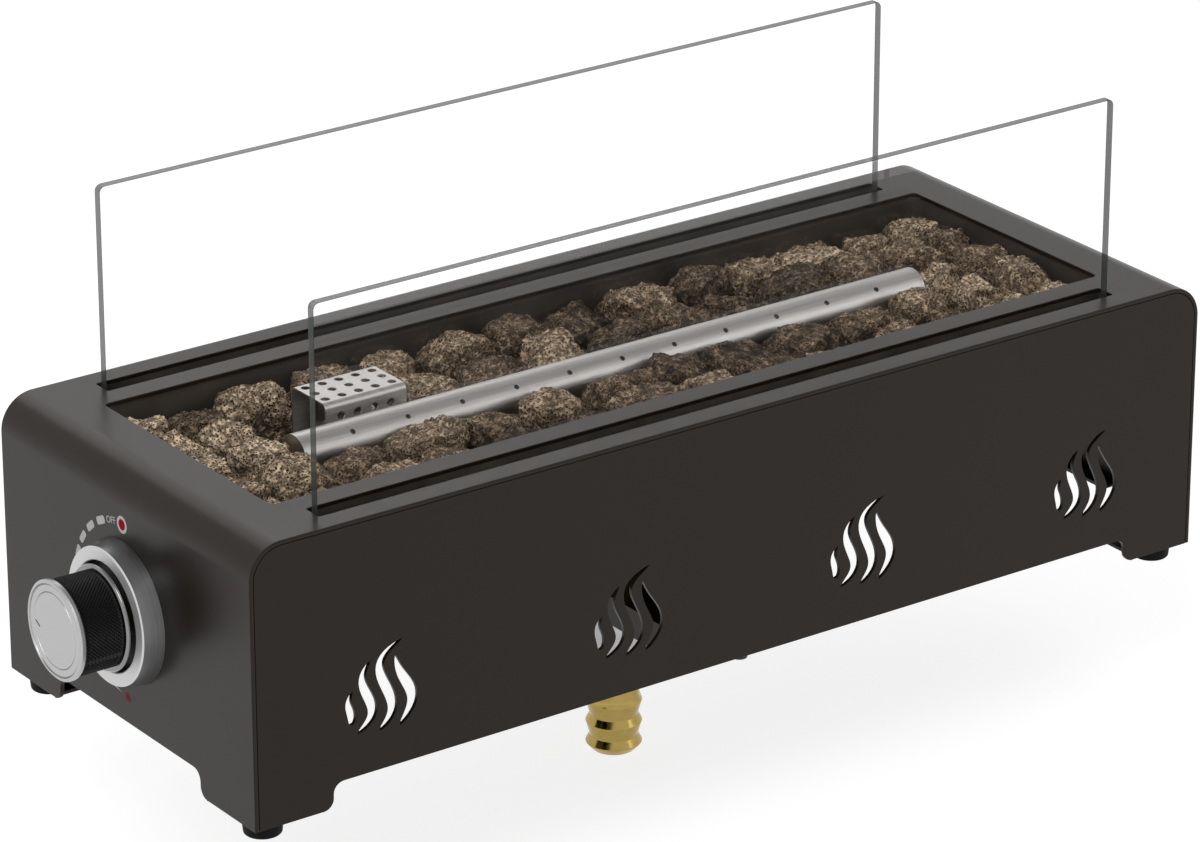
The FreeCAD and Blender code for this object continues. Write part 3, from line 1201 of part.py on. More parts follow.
def rock(index, seeds, dice):
    """One angular rock: the space nearer to its middle than to its neighbours', with corners struck off."""
    name, x, y = seeds[index]
    half_burner = BURNER_LENGTH / 2 + ROCK_CLEAR_BURNER
    burner_side = BURNER_RADIUS + ROCK_CLEAR_BURNER
    bottom = FLOOR_Z + ROCK_FLOOR_GAP
    top = TOP_Z - dice.uniform(ROCK_TOPS[1], ROCK_TOPS[0])
    limit_x = TRAY_HALF_X - ROCK_GAP
    limit_y = TRAY_HALF_Y - ROCK_GAP
    reach = ROCK_REACH
    stone = box(max(x - reach, -limit_x), min(x + reach, limit_x),
                max(y - reach, -limit_y), min(y + reach, limit_y), bottom, top)
    middle = Vector(x, y, (bottom + top) / 2)
    for other, (_, other_x, other_y) in enumerate(seeds):
        gap = Vector(other_x - x, other_y - y, 0)
        if other != index and gap.Length < ROCK_NEIGHBOURS:
            away = Vector(gap).normalize()
            stone = clip(stone, middle + gap / 2 - away * ROCK_GAP, away)
    if abs(x) < half_burner:
        side = 1 if y > 0 else -1
        stone = clip(stone, Vector(x, side * burner_side, middle.z), Vector(0, -side, 0))
    else:
        side = 1 if x > 0 else -1
        stone = clip(stone, Vector(side * half_burner, y, middle.z), Vector(-side, 0, 0))
    stone = clip_from_shield(stone, x, y)
    corner = Vector(math.copysign(1, x), math.copysign(1, y), 0)
    on_chord = Vector(corner.x * (limit_x - TRAY_ROUND / 2), corner.y * (limit_y - TRAY_ROUND / 2), 0)
    stone = clip(stone, on_chord, corner)
    box_now = stone.BoundBox
    reach = Vector(box_now.XLength / 2, box_now.YLength / 2, box_now.ZLength / 2)
    middle = box_now.Center
    for k in range(ROCK_FACETS):
        turn = 4 * math.pi * (k + dice.uniform(-0.3, 0.3)) / ROCK_FACETS
        rise = dice.uniform(0.15, 1.0) if k % 3 else dice.uniform(-0.9, -0.3)
        normal = Vector(math.cos(turn), math.sin(turn), rise).normalize()
        support = abs(normal.x) * reach.x + abs(normal.y) * reach.y + abs(normal.z) * reach.z
        stone = clip(stone, middle + normal * support * dice.uniform(*ROCK_STRIKE), normal)
    return name, stone


def clip_from_shield(stone, x, y):
    """Keep a rock that is near the igniter's cover clear of it."""
    clear = ROCK_CLEAR_SHIELD
    x0, x1 = SHIELD_X[0] - clear, SHIELD_X[1] + clear
    y1 = SHIELD_Y[1] + clear
    if y < 0 or x < x0 - 2 * ROCK_PITCH or x > x1 + 2 * ROCK_PITCH:
        return stone
    if y > y1 and x0 - ROCK_PITCH < x < x1 + ROCK_PITCH:
        return clip(stone, Vector(x, y1, 0), Vector(0, -1, 0))
    if x < x0:
        return clip(stone, Vector(x0, y, 0), Vector(1, 0, 0))
    if x > x1:
        return clip(stone, Vector(x1, y, 0), Vector(-1, 0, 0))
    return stone


def lava_rocks():
    """All the rocks, grouped by the side of the burner that they lie on."""
    dice = random.Random(ROCK_SEED)
    seeds = rock_seeds(dice)
    groups = {}
    for index in range(len(seeds)):
        name, stone = rock(index, seeds, dice)
        groups.setdefault("lava_rocks_" + name, []).extend(stone.Solids)
    return groups


# ---- Write every sub-part ----
os.makedirs("parts", exist_ok=True)
save("housing_wrap", housing_wrap())
save("front_panel", front_panel())
save("back_panel", mirrored_y(front_panel()))
feet()
save("fire_tray", fire_tray())
save("glass_channel_front", glass_channel())
save("glass_channel_back", mirrored_y(glass_channel()))
save("glass_seat_front", glass_seat())
save("glass_seat_back", mirrored_y(glass_seat()))
save("glass_front", glass())
save("glass_back", mirrored_y(glass()))
save("burner_tube", burner_tube())
save("burner_end_left", burner_end())
save("burner_end_right", mirrored_x(burner_end()))
save("burner_brackets", burner_bracket(-1), burner_bracket(1))
save("burner_screws", *burner_screws())
save("mixer_tube", mixer_tube())
save("orifice", orifice())
save("gas_valve_body", gas_valve_body())
save("piezo_igniter", piezo_igniter())
save("spindle_sleeve", spindle_sleeve())
save("valve_spindle", valve_spindle())
save("spindle_clip", spindle_clip())
save("return_spring", return_spring())
save("bezel", bezel())
save("bezel_screws", *bezel_screws())
save("knob_body", knob_body())
save("knob_cap", knob_cap())
save("knob_ring", knob_ring())
save("supply_tube", supply_tube())
save("supply_nuts", *supply_nuts())
save("inlet_elbow", inlet_elbow())
save("inlet_barb", inlet_barb())
save("inlet_locknut", inlet_locknut())
save("inlet_bracket", inlet_bracket())
bracket_fasteners()
save("igniter_shield", igniter_shield())
save("spark_electrode", spark_electrode())
save("electrode_wire", electrode_wire())
save("thermocouple", thermocouple())
save("probe_nuts", *probe_nuts())
save("ignition_lead", ignition_lead())
save("thermocouple_lead", thermocouple_lead())
save("magnet_nut", magnet_nut())
for rocks, stones in lava_rocks().items():
    save(rocks, *stones)
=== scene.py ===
import math
import random

import bmesh
import bpy
from mathutils import Matrix, Vector


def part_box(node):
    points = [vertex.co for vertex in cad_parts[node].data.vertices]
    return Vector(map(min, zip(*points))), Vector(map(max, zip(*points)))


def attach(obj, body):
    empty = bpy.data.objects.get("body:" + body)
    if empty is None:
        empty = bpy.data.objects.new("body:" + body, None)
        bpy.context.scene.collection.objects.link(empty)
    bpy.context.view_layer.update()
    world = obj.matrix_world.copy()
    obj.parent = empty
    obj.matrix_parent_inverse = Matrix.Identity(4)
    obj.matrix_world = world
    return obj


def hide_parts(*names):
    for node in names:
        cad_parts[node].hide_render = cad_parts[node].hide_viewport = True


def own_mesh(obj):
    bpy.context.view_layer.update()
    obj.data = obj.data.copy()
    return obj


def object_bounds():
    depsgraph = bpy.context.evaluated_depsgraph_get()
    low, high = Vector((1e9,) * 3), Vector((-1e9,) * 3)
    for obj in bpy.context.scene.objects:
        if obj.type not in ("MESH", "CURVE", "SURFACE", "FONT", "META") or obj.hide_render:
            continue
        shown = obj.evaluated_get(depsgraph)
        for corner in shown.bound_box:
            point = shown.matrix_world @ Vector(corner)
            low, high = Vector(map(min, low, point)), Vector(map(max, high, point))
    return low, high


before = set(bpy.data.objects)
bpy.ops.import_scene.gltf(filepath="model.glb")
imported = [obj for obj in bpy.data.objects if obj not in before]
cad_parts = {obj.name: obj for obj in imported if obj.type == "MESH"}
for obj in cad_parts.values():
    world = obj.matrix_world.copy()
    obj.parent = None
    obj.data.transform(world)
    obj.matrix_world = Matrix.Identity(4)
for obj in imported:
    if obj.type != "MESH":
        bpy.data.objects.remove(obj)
cad_low, cad_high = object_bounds()

# ---- Stage ----
# A pale floor below the hose barb's tip, one broad lamp from the left and above, weaker ones from
# the right and from behind, and a long lens.
WHITE = (1, 1, 1, 1)
FLOOR_SIZE = 12.0
FLOOR_GAP = 0.001
FLOOR_COLOUR = (0.34, 0.34, 0.34, 1)
FLOOR_GLOW = 0.80
SKY_TURN = (0.55, 0.85)     # height, as a sine, where the white turns darker overhead
SKY_OVERHEAD = 0.35
SKY_LIGHT = 0.55
CAMERA_PLACE = (-1.39684, -1.93612, 1.09636)
CAMERA_DOWN = 22.723
CAMERA_YAW = 35.673
CAMERA_ROLL = 0.027
CAMERA_LENS = 175.26
CAMERA_SENSOR = 36
CAMERA_REACH = 50
LAMP_TARGET = (0, 0, 0.1)
LAMPS = (                   # place, width, height and power
    ("key", (-1.6, -1.1, 2.2), 1.6, 1.2, 30),
    ("fill", (1.8, -1.6, 1.2), 1.4, 1.0, 5),
    ("back", (0.4, 2.2, 1.8), 2.0, 0.8, 8),
)

scene = bpy.context.scene
scene.view_settings.view_transform = "Standard"


def deselect_all():
    """Leave nothing selected."""
    bpy.ops.object.select_all(action="DESELECT")


def lamp(name, place, width, height, power):
    """A soft rectangular lamp that faces the pit."""
    data = bpy.data.lights.new(name, "AREA")
    data.shape = "RECTANGLE"
    data.size = width
    data.size_y = height
    data.energy = power
    light = bpy.data.objects.new(name, data)
    light.location = place
    way = Vector(LAMP_TARGET) - Vector(place)
    light.rotation_euler = way.to_track_quat("-Z", "Y").to_euler()
    scene.collection.objects.link(light)


def surface(name, values):
    """A new material and its shader, with the shader's values."""
    material = bpy.data.materials.new(name)
    material.use_nodes = True
    shader = material.node_tree.nodes["Principled BSDF"]
    for socket, value in values.items():
        shader.inputs[socket].default_value = value
    return material, shader


def add_node(owner, kind, values=None, **settings):
    """A node in a material or world, with its settings and the values of its sockets."""
    node = owner.node_tree.nodes.new("ShaderNode" + kind)
    for name, value in settings.items():
        setattr(node, name, value)
    for socket, value in (values or {}).items():
        node.inputs[socket].default_value = value
    return node


def wire(owner, *links):
    """Link nodes, each link given as a node, its output, the next node and its input."""
    for source, output, target, entry in links:
        owner.node_tree.links.new(source.outputs[output], target.inputs[entry])


def remap(owner, start, end, low=0.0, high=1.0):
    """A node that maps one range of values onto another."""
    return add_node(owner, "MapRange", {"From Min": start, "From Max": end,
                                        "To Min": low, "To Max": high})


def paint(piece, *materials):
    """Give a piece these materials and no others."""
    piece.data.materials.clear()
    for material in materials:
        piece.data.materials.append(material)


def seen_directly(owner):
    """1 for rays from the camera, in a mirror or through glass, and 0 for the light on things."""
    path = add_node(owner, "LightPath")
    total = (path, "Is Camera Ray")
    for name in ("Is Glossy Ray", "Is Transmission Ray"):
        both = add_node(owner, "Math", operation="MAXIMUM")
        wire(owner, (*total, both, 0), (path, name, both, 1))
        total = (both, "Value")
    return total


def floor_material():
    """White matt floor that keeps the shadow."""
    material, shader = surface("floor", {"Base Color": FLOOR_COLOUR, "Roughness": 0.9,
                                         "Specular IOR Level": 0.1, "Emission Color": WHITE})
    glow = add_node(material, "Math", {1: FLOOR_GLOW}, operation="MULTIPLY")
    wire(material, (*seen_directly(material), glow, 0), (glow, "Value", shader, "Emission Strength"))
    return material


def sky():
    """White at eye level for the camera, mirrors and glass, darker overhead, and dimmer for light."""
    world = bpy.data.worlds.new("studio")
    scene.world = world
    world.use_nodes = True
    back = world.node_tree.nodes["Background"]
    back.inputs["Color"].default_value = WHITE
    place = add_node(world, "TexCoord")
    split = add_node(world, "SeparateXYZ")
    seen = remap(world, *SKY_TURN, 1.0, SKY_OVERHEAD)
    choice = add_node(world, "Mix", {"A": SKY_LIGHT})
    wire(world, (place, "Generated", split, "Vector"), (split, "Z", seen, "Value"),
         (*seen_directly(world), choice, "Factor"), (seen, "Result", choice, "B"),
         (choice, "Result", back, "Strength"))


sky()
deselect_all()
bpy.ops.mesh.primitive_plane_add(size=FLOOR_SIZE, location=(0, 0, cad_low.z - FLOOR_GAP))
floor = bpy.context.object
floor.name = "floor"
paint(floor, floor_material())

for setting in LAMPS:
    lamp(*setting)

camera_data = bpy.data.cameras.new("camera")
camera_data.lens = CAMERA_LENS
camera_data.sensor_width = CAMERA_SENSOR
camera_data.clip_end = CAMERA_REACH
camera = bpy.data.objects.new("camera", camera_data)
camera.location = CAMERA_PLACE
camera.rotation_euler = (math.radians(90 - CAMERA_DOWN), math.radians(CAMERA_ROLL),
                         math.radians(-CAMERA_YAW))
scene.collection.objects.link(camera)
scene.camera = camera

# ---- Housing ----
# One sheet of 2 mm steel makes the top and both ends. It is bent over two big radii, cut out for the
# fire and the two glasses, and powder coated in charcoal.
SHEET = 0.002
BEND = 0.016
BEND_STEPS = 16
TOE_RISE = 0.0117
LEG_WIDTH = 0.0376          # of a leg on the end, from the corner
LEG_ROUND = 0.005
ROUND_STEPS = 6
TAB_LENGTH = 0.030
BOTTOM_FLANGE = 0.010
RELIEF = 0.0015
NEST_GAP = 0.0002
OPENING = (0.4436, 0.1324)
OPENING_ROUND = 0.0025
SLOT = (0.425, 0.0101)
SLOT_ROUND = 0.001
SLOT_Y = 0.08315
NOSE_CUT = 0.0077           # hole in the left end for the valve's nose
NOSE_STEPS = 48
SCREW_CUT = 0.0022
SCREW_STEPS = 24
SCREW_Y = 0.017
EDGE_ROUND = 0.0004
SMOOTH_ANGLE = 32
PAST = 0.003                # how far a cutter runs past what it cuts
DRILL_REACH = 4             # a drill's length, in sheets
THROUGH = 1                 # half the length of a cutter that runs through the whole body
ALONG = 0.9                 # how far a direction has to run along an axis to count
NOISE_RANGE = (0.3, 0.7)    # where most values of a noise lie

wrap_low, wrap_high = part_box("housing_wrap")
TOP_Z = wrap_high.z
LEG_Z = wrap_low.z
TOE_Z = LEG_Z + TOE_RISE


def block(name, low, high):
    """A cuboid between two corners, its place in its mesh."""
    deselect_all()
    low = Vector(low)
    high = Vector(high)
    bpy.ops.mesh.primitive_cube_add(size=1, location=(low + high) / 2)
    piece = bpy.context.object
    piece.name = name
    piece.scale = high - low
    bpy.ops.object.transform_apply()
    return piece


def select(*pieces):
    """Select only these pieces, the first one active."""
    deselect_all()
    for piece in pieces:
        piece.select_set(True)
    bpy.context.view_layer.objects.active = pieces[0]


def pick(piece, kind, wanted=lambda middle, way: True):
    """Open a piece for editing with only its wanted corners, edges or faces selected, or all."""
    select(piece)
    bpy.ops.object.mode_set(mode="EDIT")
    bpy.ops.mesh.select_mode(type=kind)
    bpy.ops.mesh.select_all(action="DESELECT")
    mesh = bmesh.from_edit_mesh(piece.data)
    if kind == "EDGE":
        for edge in mesh.edges:
            start, end = [corner.co for corner in edge.verts]
            edge.select_set(wanted((start + end) / 2, (end - start).normalized()))
    if kind == "FACE":
        for face in mesh.faces:
            face.select_set(wanted(face.calc_center_median(), face.normal))
    if kind == "VERT":
        for corner in mesh.verts:
            corner.select_set(wanted(corner.co, corner.normal))
    mesh.select_flush_mode()
    bmesh.update_edit_mesh(piece.data)


def close():
    """Leave edit mode."""
    bpy.ops.object.mode_set(mode="OBJECT")


def apply_modifier(piece, modifier):
    """Apply one modifier as the Apply button does."""
    select(piece)
    bpy.ops.object.modifier_apply(modifier=modifier.name)


def combine(piece, tools, operation="DIFFERENCE"):
    """Cut the tools out of a piece, or add them to it, and delete them."""
    for tool in tools:
        modifier = piece.modifiers.new("combine", "BOOLEAN")
        modifier.operation = operation
        modifier.solver = "EXACT"
        modifier.object = tool
        apply_modifier(piece, modifier)
        bpy.data.objects.remove(tool)


def joined(tools):
    """Several pieces as one. Cutters that are joined don't overlap."""
    select(*tools)
    if len(tools) > 1:
        bpy.ops.object.join()
    return bpy.context.object


def rounded_block(name, low, high, radius, steps=4):
    """A cuboid with its upright edges rounded."""
    piece = block(name, low, high)
    pick(piece, "EDGE", lambda middle, way: abs(way.z) > ALONG)
    bpy.ops.mesh.bevel(offset=radius, segments=steps, affect="EDGES")
    close()
    return piece


def drawn(name, points, edges, faces):
    """A piece made of given points."""
    mesh = bpy.data.meshes.new(name)
    mesh.from_pydata(points, edges, faces)
    piece = bpy.data.objects.new(name, mesh)
    scene.collection.objects.link(piece)
    return piece


def extruded(name, points, way):
    """A flat outline drawn out to a solid."""
    piece = drawn(name, points, [], [list(range(len(points)))])
    pick(piece, "FACE")
    bpy.ops.mesh.extrude_region_move(TRANSFORM_OT_translate={"value": way})
    bpy.ops.mesh.select_all(action="SELECT")
    bpy.ops.mesh.normals_make_consistent(inside=False)
    close()
    return piece


def prism(name, outline, start, end):
    """A bar along Y whose section is an outline of (x, z) points."""
    return extruded(name, [(x, start, z) for x, z in outline], (0, end - start, 0))


def quarter_turn(piece):
    """Turn a piece a quarter about Z."""
    piece.data.transform(Matrix.Rotation(math.pi / 2, 4, "Z"))
    return piece


def toe_outline(half_bottom):
    """Outline of the space under a raised bottom edge, with a curve at each leg."""
    half_top = half_bottom - 2 * LEG_ROUND
    upper = []
    lower = []
    for k in range(ROUND_STEPS + 1):
        turn = math.pi / 2 * k / ROUND_STEPS
        upper.append((half_top + LEG_ROUND * math.sin(turn),
                      TOE_Z - LEG_ROUND + LEG_ROUND * math.cos(turn)))
        lower.append((half_bottom - LEG_ROUND * math.cos(turn),
                      LEG_Z + LEG_ROUND - LEG_ROUND * math.sin(turn)))
    right = upper + lower + [(half_bottom, LEG_Z - PAST)]
    return right + [(-x, z) for x, z in reversed(right)]


def folded(name, low, high, bend, steps):
    """A block along Y with its two top edges bent to a radius."""
    piece = block(name, low, high)
    pick(piece, "EDGE", lambda middle, way: abs(way.y) > ALONG and middle.z > (low[2] + high[2]) / 2)
    bpy.ops.mesh.bevel(offset=bend, segments=steps, affect="EDGES")
    close()
    return piece


def cylinder(steps, radius, depth, place, turn=(0, 0, 0)):
    """A cylinder or, with few steps, a prism, upright or turned, its place in its mesh."""
    deselect_all()
    bpy.ops.mesh.primitive_cylinder_add(vertices=steps, radius=radius, depth=depth, location=place,
                                        rotation=turn)
    bpy.ops.object.transform_apply()
    return bpy.context.object


def drill(places, radius, steps, way, sheet):
    """Cutters of equal round holes through a sheet, joined."""
    turn = Vector(way).to_track_quat("Z", "X").to_euler()
    return joined([cylinder(steps, radius, DRILL_REACH * sheet, place, turn) for place in places])


def shade(piece, angle=SMOOTH_ANGLE):
    """Smooth the curves of a piece and keep its flats flat."""
    select(piece)
    bpy.ops.object.shade_smooth_by_angle(angle=math.radians(angle))
    weighted = piece.modifiers.new("normals", "WEIGHTED_NORMAL")
    weighted.keep_sharp = True
    apply_modifier(piece, weighted)


def finish_edges(piece, width=EDGE_ROUND, steps=2, angle=SMOOTH_ANGLE):
    """Break the sharp edges a little and shade the piece."""
    bevel = piece.modifiers.new("edges", "BEVEL")
    bevel.width = width
    bevel.segments = steps
    bevel.limit_method = "ANGLE"
    bevel.angle_limit = math.radians(angle)
    bevel.use_clamp_overlap = False
    apply_modifier(piece, bevel)
    shade(piece, angle)


def add_ramp(material, *stops):
    """A colour ramp through two or more (position, colour) stops."""
    ramp = add_node(material, "ValToRGB")
    elements = ramp.color_ramp.elements
    for _ in stops[2:]:
        elements.new(0.5)
    for element, (position, colour) in zip(elements, stops):
        element.position = position
        element.color = (*colour, 1)
    return ramp


def follow(material, shader, noise, ends, dark, light, roughness):
    """Colour and gloss that follow a noise, the gloss between the noise's two ends."""
    ramp = add_ramp(material, (NOISE_RANGE[0], dark), (NOISE_RANGE[1], light))
    gloss = remap(material, *ends, *roughness)
    wire(material, (noise, "Fac", ramp, "Fac"),
         (ramp, "Color", shader, "Base Color"),
         (noise, "Fac", gloss, "Value"),
         (gloss, "Result", shader, "Roughness"))


def finish(name, dark, light, roughness, metallic=0.0, size=0.003, bump=0.0, stretch=(1, 1, 1),
           specular=0.5, tint=(1, 1, 1)):
    """A surface whose colour and gloss wander between two values over patches of one size."""
    material, shader = surface(name, {"Metallic": metallic, "Specular IOR Level": specular,
                                      "Specular Tint": (*tint, 1)})
    place = add_node(material, "TexCoord")
    mapping = add_node(material, "Mapping", {"Scale": [share / size for share in stretch]})
    noise = add_node(material, "TexNoise", {"Scale": 1.0, "Detail": 5.0})
    wire(material, (place, "Object", mapping, "Vector"), (mapping, "Vector", noise, "Vector"))
    follow(material, shader, noise, NOISE_RANGE, dark, light, roughness)
    if bump:
        relief = add_node(material, "Bump", {"Distance": bump})
        wire(material, (noise, "Fac", relief, "Height"), (relief, "Normal", shader, "Normal"))
    return material


COAT_TINT = (1.0, 0.89, 0.83)
powder_coat = finish("powder_coat", (0.0085, 0.0062, 0.0045), (0.0115, 0.0085, 0.0063), (0.28, 0.34),
                     size=0.0009, bump=0.00002, specular=0.245, tint=COAT_TINT)

shell = folded("housing_shell", wrap_low, wrap_high, BEND, BEND_STEPS)
pick(shell, "FACE", lambda middle, way: abs(way.y) > ALONG or way.z < -ALONG)
bpy.ops.mesh.delete(type="FACE")
close()
wall = shell.modifiers.new("wall", "SOLIDIFY")
wall.thickness = SHEET
wall.offset = -1
wall.use_even_offset = True
apply_modifier(shell, wall)

half_notch_y = wrap_high.y - LEG_WIDTH
cutters = [quarter_turn(prism("toe", toe_outline(half_notch_y), -THROUGH, THROUGH)),
           rounded_block("opening", (-OPENING[0] / 2, -OPENING[1] / 2, TOP_Z - SHEET - PAST),
                         (OPENING[0] / 2, OPENING[1] / 2, TOP_Z + PAST), OPENING_ROUND)]
for end in (-1, 1):
    low = (-SLOT[0] / 2, end * SLOT_Y - SLOT[1] / 2, TOP_Z - SHEET - PAST)
    high = (SLOT[0] / 2, end * SLOT_Y + SLOT[1] / 2, TOP_Z + PAST)
    cutters.append(rounded_block("slot", low, high, SLOT_ROUND))
knob_low, knob_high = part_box("knob_cap")
knob_z = (knob_low.z + knob_high.z) / 2
cutters.append(drill([(wrap_low.x, 0, knob_z)], NOSE_CUT, NOSE_STEPS, (1, 0, 0), SHEET))
cutters.append(drill([(wrap_low.x, end * SCREW_Y, knob_z) for end in (-1, 1)], SCREW_CUT, SCREW_STEPS,
                     (1, 0, 0), SHEET))
combine(shell, [joined(cutters)])
finish_edges(shell)

folds = []
half_toe_y = half_notch_y - 2 * LEG_ROUND - RELIEF
tab_end_y = wrap_high.y - SHEET - NEST_GAP
for side in (-1, 1):
    wall_x = side * (wrap_high.x - SHEET)
    near, far = sorted((wall_x - side * TAB_LENGTH, wall_x))
    for end in (-1, 1):
        y0, y1 = sorted((end * half_notch_y, end * tab_end_y))
        folds.append(block("tab", (near, y0, LEG_Z), (far, y1, LEG_Z + SHEET)))
    near, far = sorted((wall_x - side * (BOTTOM_FLANGE - SHEET), wall_x))
    folds.append(block("flange", (near, -half_toe_y, TOE_Z), (far, half_toe_y, TOE_Z + SHEET)))
for fold in folds:
    finish_edges(fold)
shell = joined([shell] + folds)
paint(shell, powder_coat)
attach(shell, "housing")
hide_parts("housing_wrap")

# ---- Front and back panels ----
# Pressed from the same sheet: returns along the top and the ends nest inside the housing, and four
# groups of laser-cut flame strokes let the air in. The back panel is the front one's mirror image.
LEG_LENGTH = 0.034          # of a leg on the front, from the corner
PANEL_RETURN = 0.0075
PANEL_EDGE = 0.0003
VENTS = 4
STROKE_STEPS = 24
STROKE_BLUNT = 0.65         # 1 closes the ends to long points, less makes them blunter
# Foot and tip of each stroke (x from the vent's middle, height above the leg bottoms), bow and sway
# of its middle line, half width, and how low its widest place is.
STROKES = (
    ((-0.0151, 0.0359), (-0.0143, 0.0512), 0.00134, -0.00084, 0.00193, 0.60),
    ((-0.0124, 0.0311), (-0.0053, 0.0630), -0.00236, -0.00401, 0.00234, 0.84),
    ((-0.0015, 0.0296), (0.0108, 0.0690), 0.00297, -0.00595, 0.00246, 0.81),
    ((0.0088, 0.0294), (0.0071, 0.0620), -0.00603, -0.00223, 0.00259, 0.85),
)
panel_low, panel_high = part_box("front_panel")


def stroke_outline(foot, tip, bow, sway, half_width, low):
    """One flame stroke: a swaying middle line with a width that closes at both ends."""
    start = Vector(foot)
    chord = Vector(tip) - start
    along = chord.normalized()
    across = Vector((-along.y, along.x))
    left = []
    right = []
    for k in range(STROKE_STEPS + 1):
        t = k / STROKE_STEPS
        offset = bow * math.sin(math.pi * t) + sway * math.sin(2 * math.pi * t)
        slope = math.pi * (bow * math.cos(math.pi * t) + 2 * sway * math.cos(2 * math.pi * t))
        heading = (along + across * (slope / chord.length)).normalized()
        wide = max(0, math.sin(math.pi * t ** low)) ** STROKE_BLUNT
        out = Vector((-heading.y, heading.x)) * half_width * wide
        middle = start + chord * t + across * offset
        left.append(middle + out)
        right.append(middle - out)
    return left + right[-2:0:-1]


panel = folded("front_skin", (panel_low.x, panel_low.y, LEG_Z),
               (panel_high.x, panel_low.y + PANEL_RETURN, panel_high.z),
               BEND - SHEET - NEST_GAP, BEND_STEPS)
hollow = folded("hollow", (panel_low.x + SHEET, panel_low.y + SHEET, LEG_Z - PAST),
                (panel_high.x - SHEET, panel_low.y + BOTTOM_FLANGE, panel_high.z - SHEET),
                BEND - 2 * SHEET - NEST_GAP, BEND_STEPS)
combine(panel, [hollow])
foot_room = block("room", (panel_low.x - PAST, panel_low.y + SHEET, LEG_Z - PAST),
                  (panel_high.x + PAST, panel_low.y + BOTTOM_FLANGE, LEG_Z + SHEET + NEST_GAP))
combine(panel, [foot_room])
half_notch_x = wrap_high.x - LEG_LENGTH
cutters = [prism("toe", toe_outline(half_notch_x), panel_low.y - PAST, panel_low.y + BOTTOM_FLANGE)]
vent_pitch = (wrap_high.x - wrap_low.x) / VENTS
for k in range(VENTS):
    middle_x = vent_pitch * (k + 0.5) - wrap_high.x
    for stroke in STROKES:
        outline = [(x + middle_x, z + LEG_Z) for x, z in stroke_outline(*stroke)]
        cutters.append(prism("stroke", outline, panel_low.y - PAST, panel_low.y + SHEET + PAST))
combine(panel, [joined(cutters)])
finish_edges(panel, PANEL_EDGE)
half_toe_x = half_notch_x - 2 * LEG_ROUND - RELIEF
flange = block("flange", (-half_toe_x, panel_low.y + SHEET, TOE_Z),
               (half_toe_x, panel_low.y + BOTTOM_FLANGE, TOE_Z + SHEET))
finish_edges(flange)
panel = joined([panel, flange])
paint(panel, powder_coat)
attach(panel, "housing")
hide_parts("front_panel")


def copied(piece, name, change):
    """A copy of a piece with its own mesh, moved or mirrored. A mirrored one is shaded anew."""
    twin = bpy.data.objects.new(name, piece.data.copy())
    scene.collection.objects.link(twin)
    twin.data.transform(change)
    if change.determinant() < 0:
        select(twin)
        bpy.ops.mesh.customdata_custom_splitnormals_clear()
        twin.data.flip_normals()
        shade(twin)
    return twin


back = copied(panel, "back_skin", Matrix.Scale(-1, 4, (0, 1, 0)))
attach(back, "housing")
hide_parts("back_panel")

# ---- Fire tray, channels and bracket ----
# Thinner sheet: the pan under the opening, a closed trough under each slot with its silicone strip,
# and the cross bracket for the gas inlet. Coated like the housing, and sooty inside the tray.
MERGE = 1e-6                # corners this close are one
FLAT_ANGLE = 0.5            # faces that turn less than this are one
DRESS_ANGLE = 30


def dress(node, material, body="housing"):
    """A copy of a solid part with its loose triangles merged into flats and its curves smooth."""
    piece = bpy.data.objects.new(node + "_skin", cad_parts[node].data.copy())
    scene.collection.objects.link(piece)
    pick(piece, "VERT")
    bpy.ops.mesh.remove_doubles(threshold=MERGE)
    bpy.ops.mesh.dissolve_limited(angle_limit=math.radians(FLAT_ANGLE))
    close()
    shade(piece, DRESS_ANGLE)
    paint(piece, material)
    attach(piece, body)
    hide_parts(node)
    return piece


tray_coat = finish("tray_coat", (0.030, 0.026, 0.023), (0.052, 0.044, 0.038), (0.45, 0.60), size=0.02,
                   bump=0.00004, specular=0.4, tint=COAT_TINT)
for node in ("fire_tray", "glass_channel_front", "glass_channel_back"):
    dress(node, tray_coat)
dress("inlet_bracket", powder_coat)
silicone = finish("silicone", (0.010, 0.010, 0.010), (0.016, 0.016, 0.016), (0.6, 0.75), size=0.004)
for node in ("glass_seat_front", "glass_seat_back"):
    dress(node, silicone)

# ---- Fasteners ----
# Zinc-plated screws and nuts, the valve's guide bush and clip, and its wire spring, on a mesh of its
# own. The screws that show from below are blackened.
zinc = finish("zinc", (0.40, 0.40, 0.41), (0.47, 0.47, 0.48), (0.30, 0.38), metallic=1.0, size=0.002)
for node in ("foot_nuts", "burner_screws", "bracket_nuts", "bezel_screws", "probe_nuts"):
    dress(node, zinc)
dress("spindle_sleeve", zinc, "spindle_guide")
dress("spindle_clip", zinc, "knob")
spring = dress("return_spring", zinc)
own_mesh(spring)
black_zinc = finish("black_zinc", (0.010, 0.010, 0.010), (0.018, 0.018, 0.018), (0.35, 0.5), size=0.002)
for node in ("foot_screws", "bracket_screws"):
    dress(node, black_zinc)

# ---- Feet ----
# Moulded rubber cups, matt black, each with a recess below for the screw that holds it to the leg's
# tab. All four come from one mould.
FOOT_RADIUS = 0.009
FOOT_EDGE = 0.0007
FOOT_RECESS = 0.0038
FOOT_RECESS_DEEP = 0.004
FOOT_BORE = 0.0022


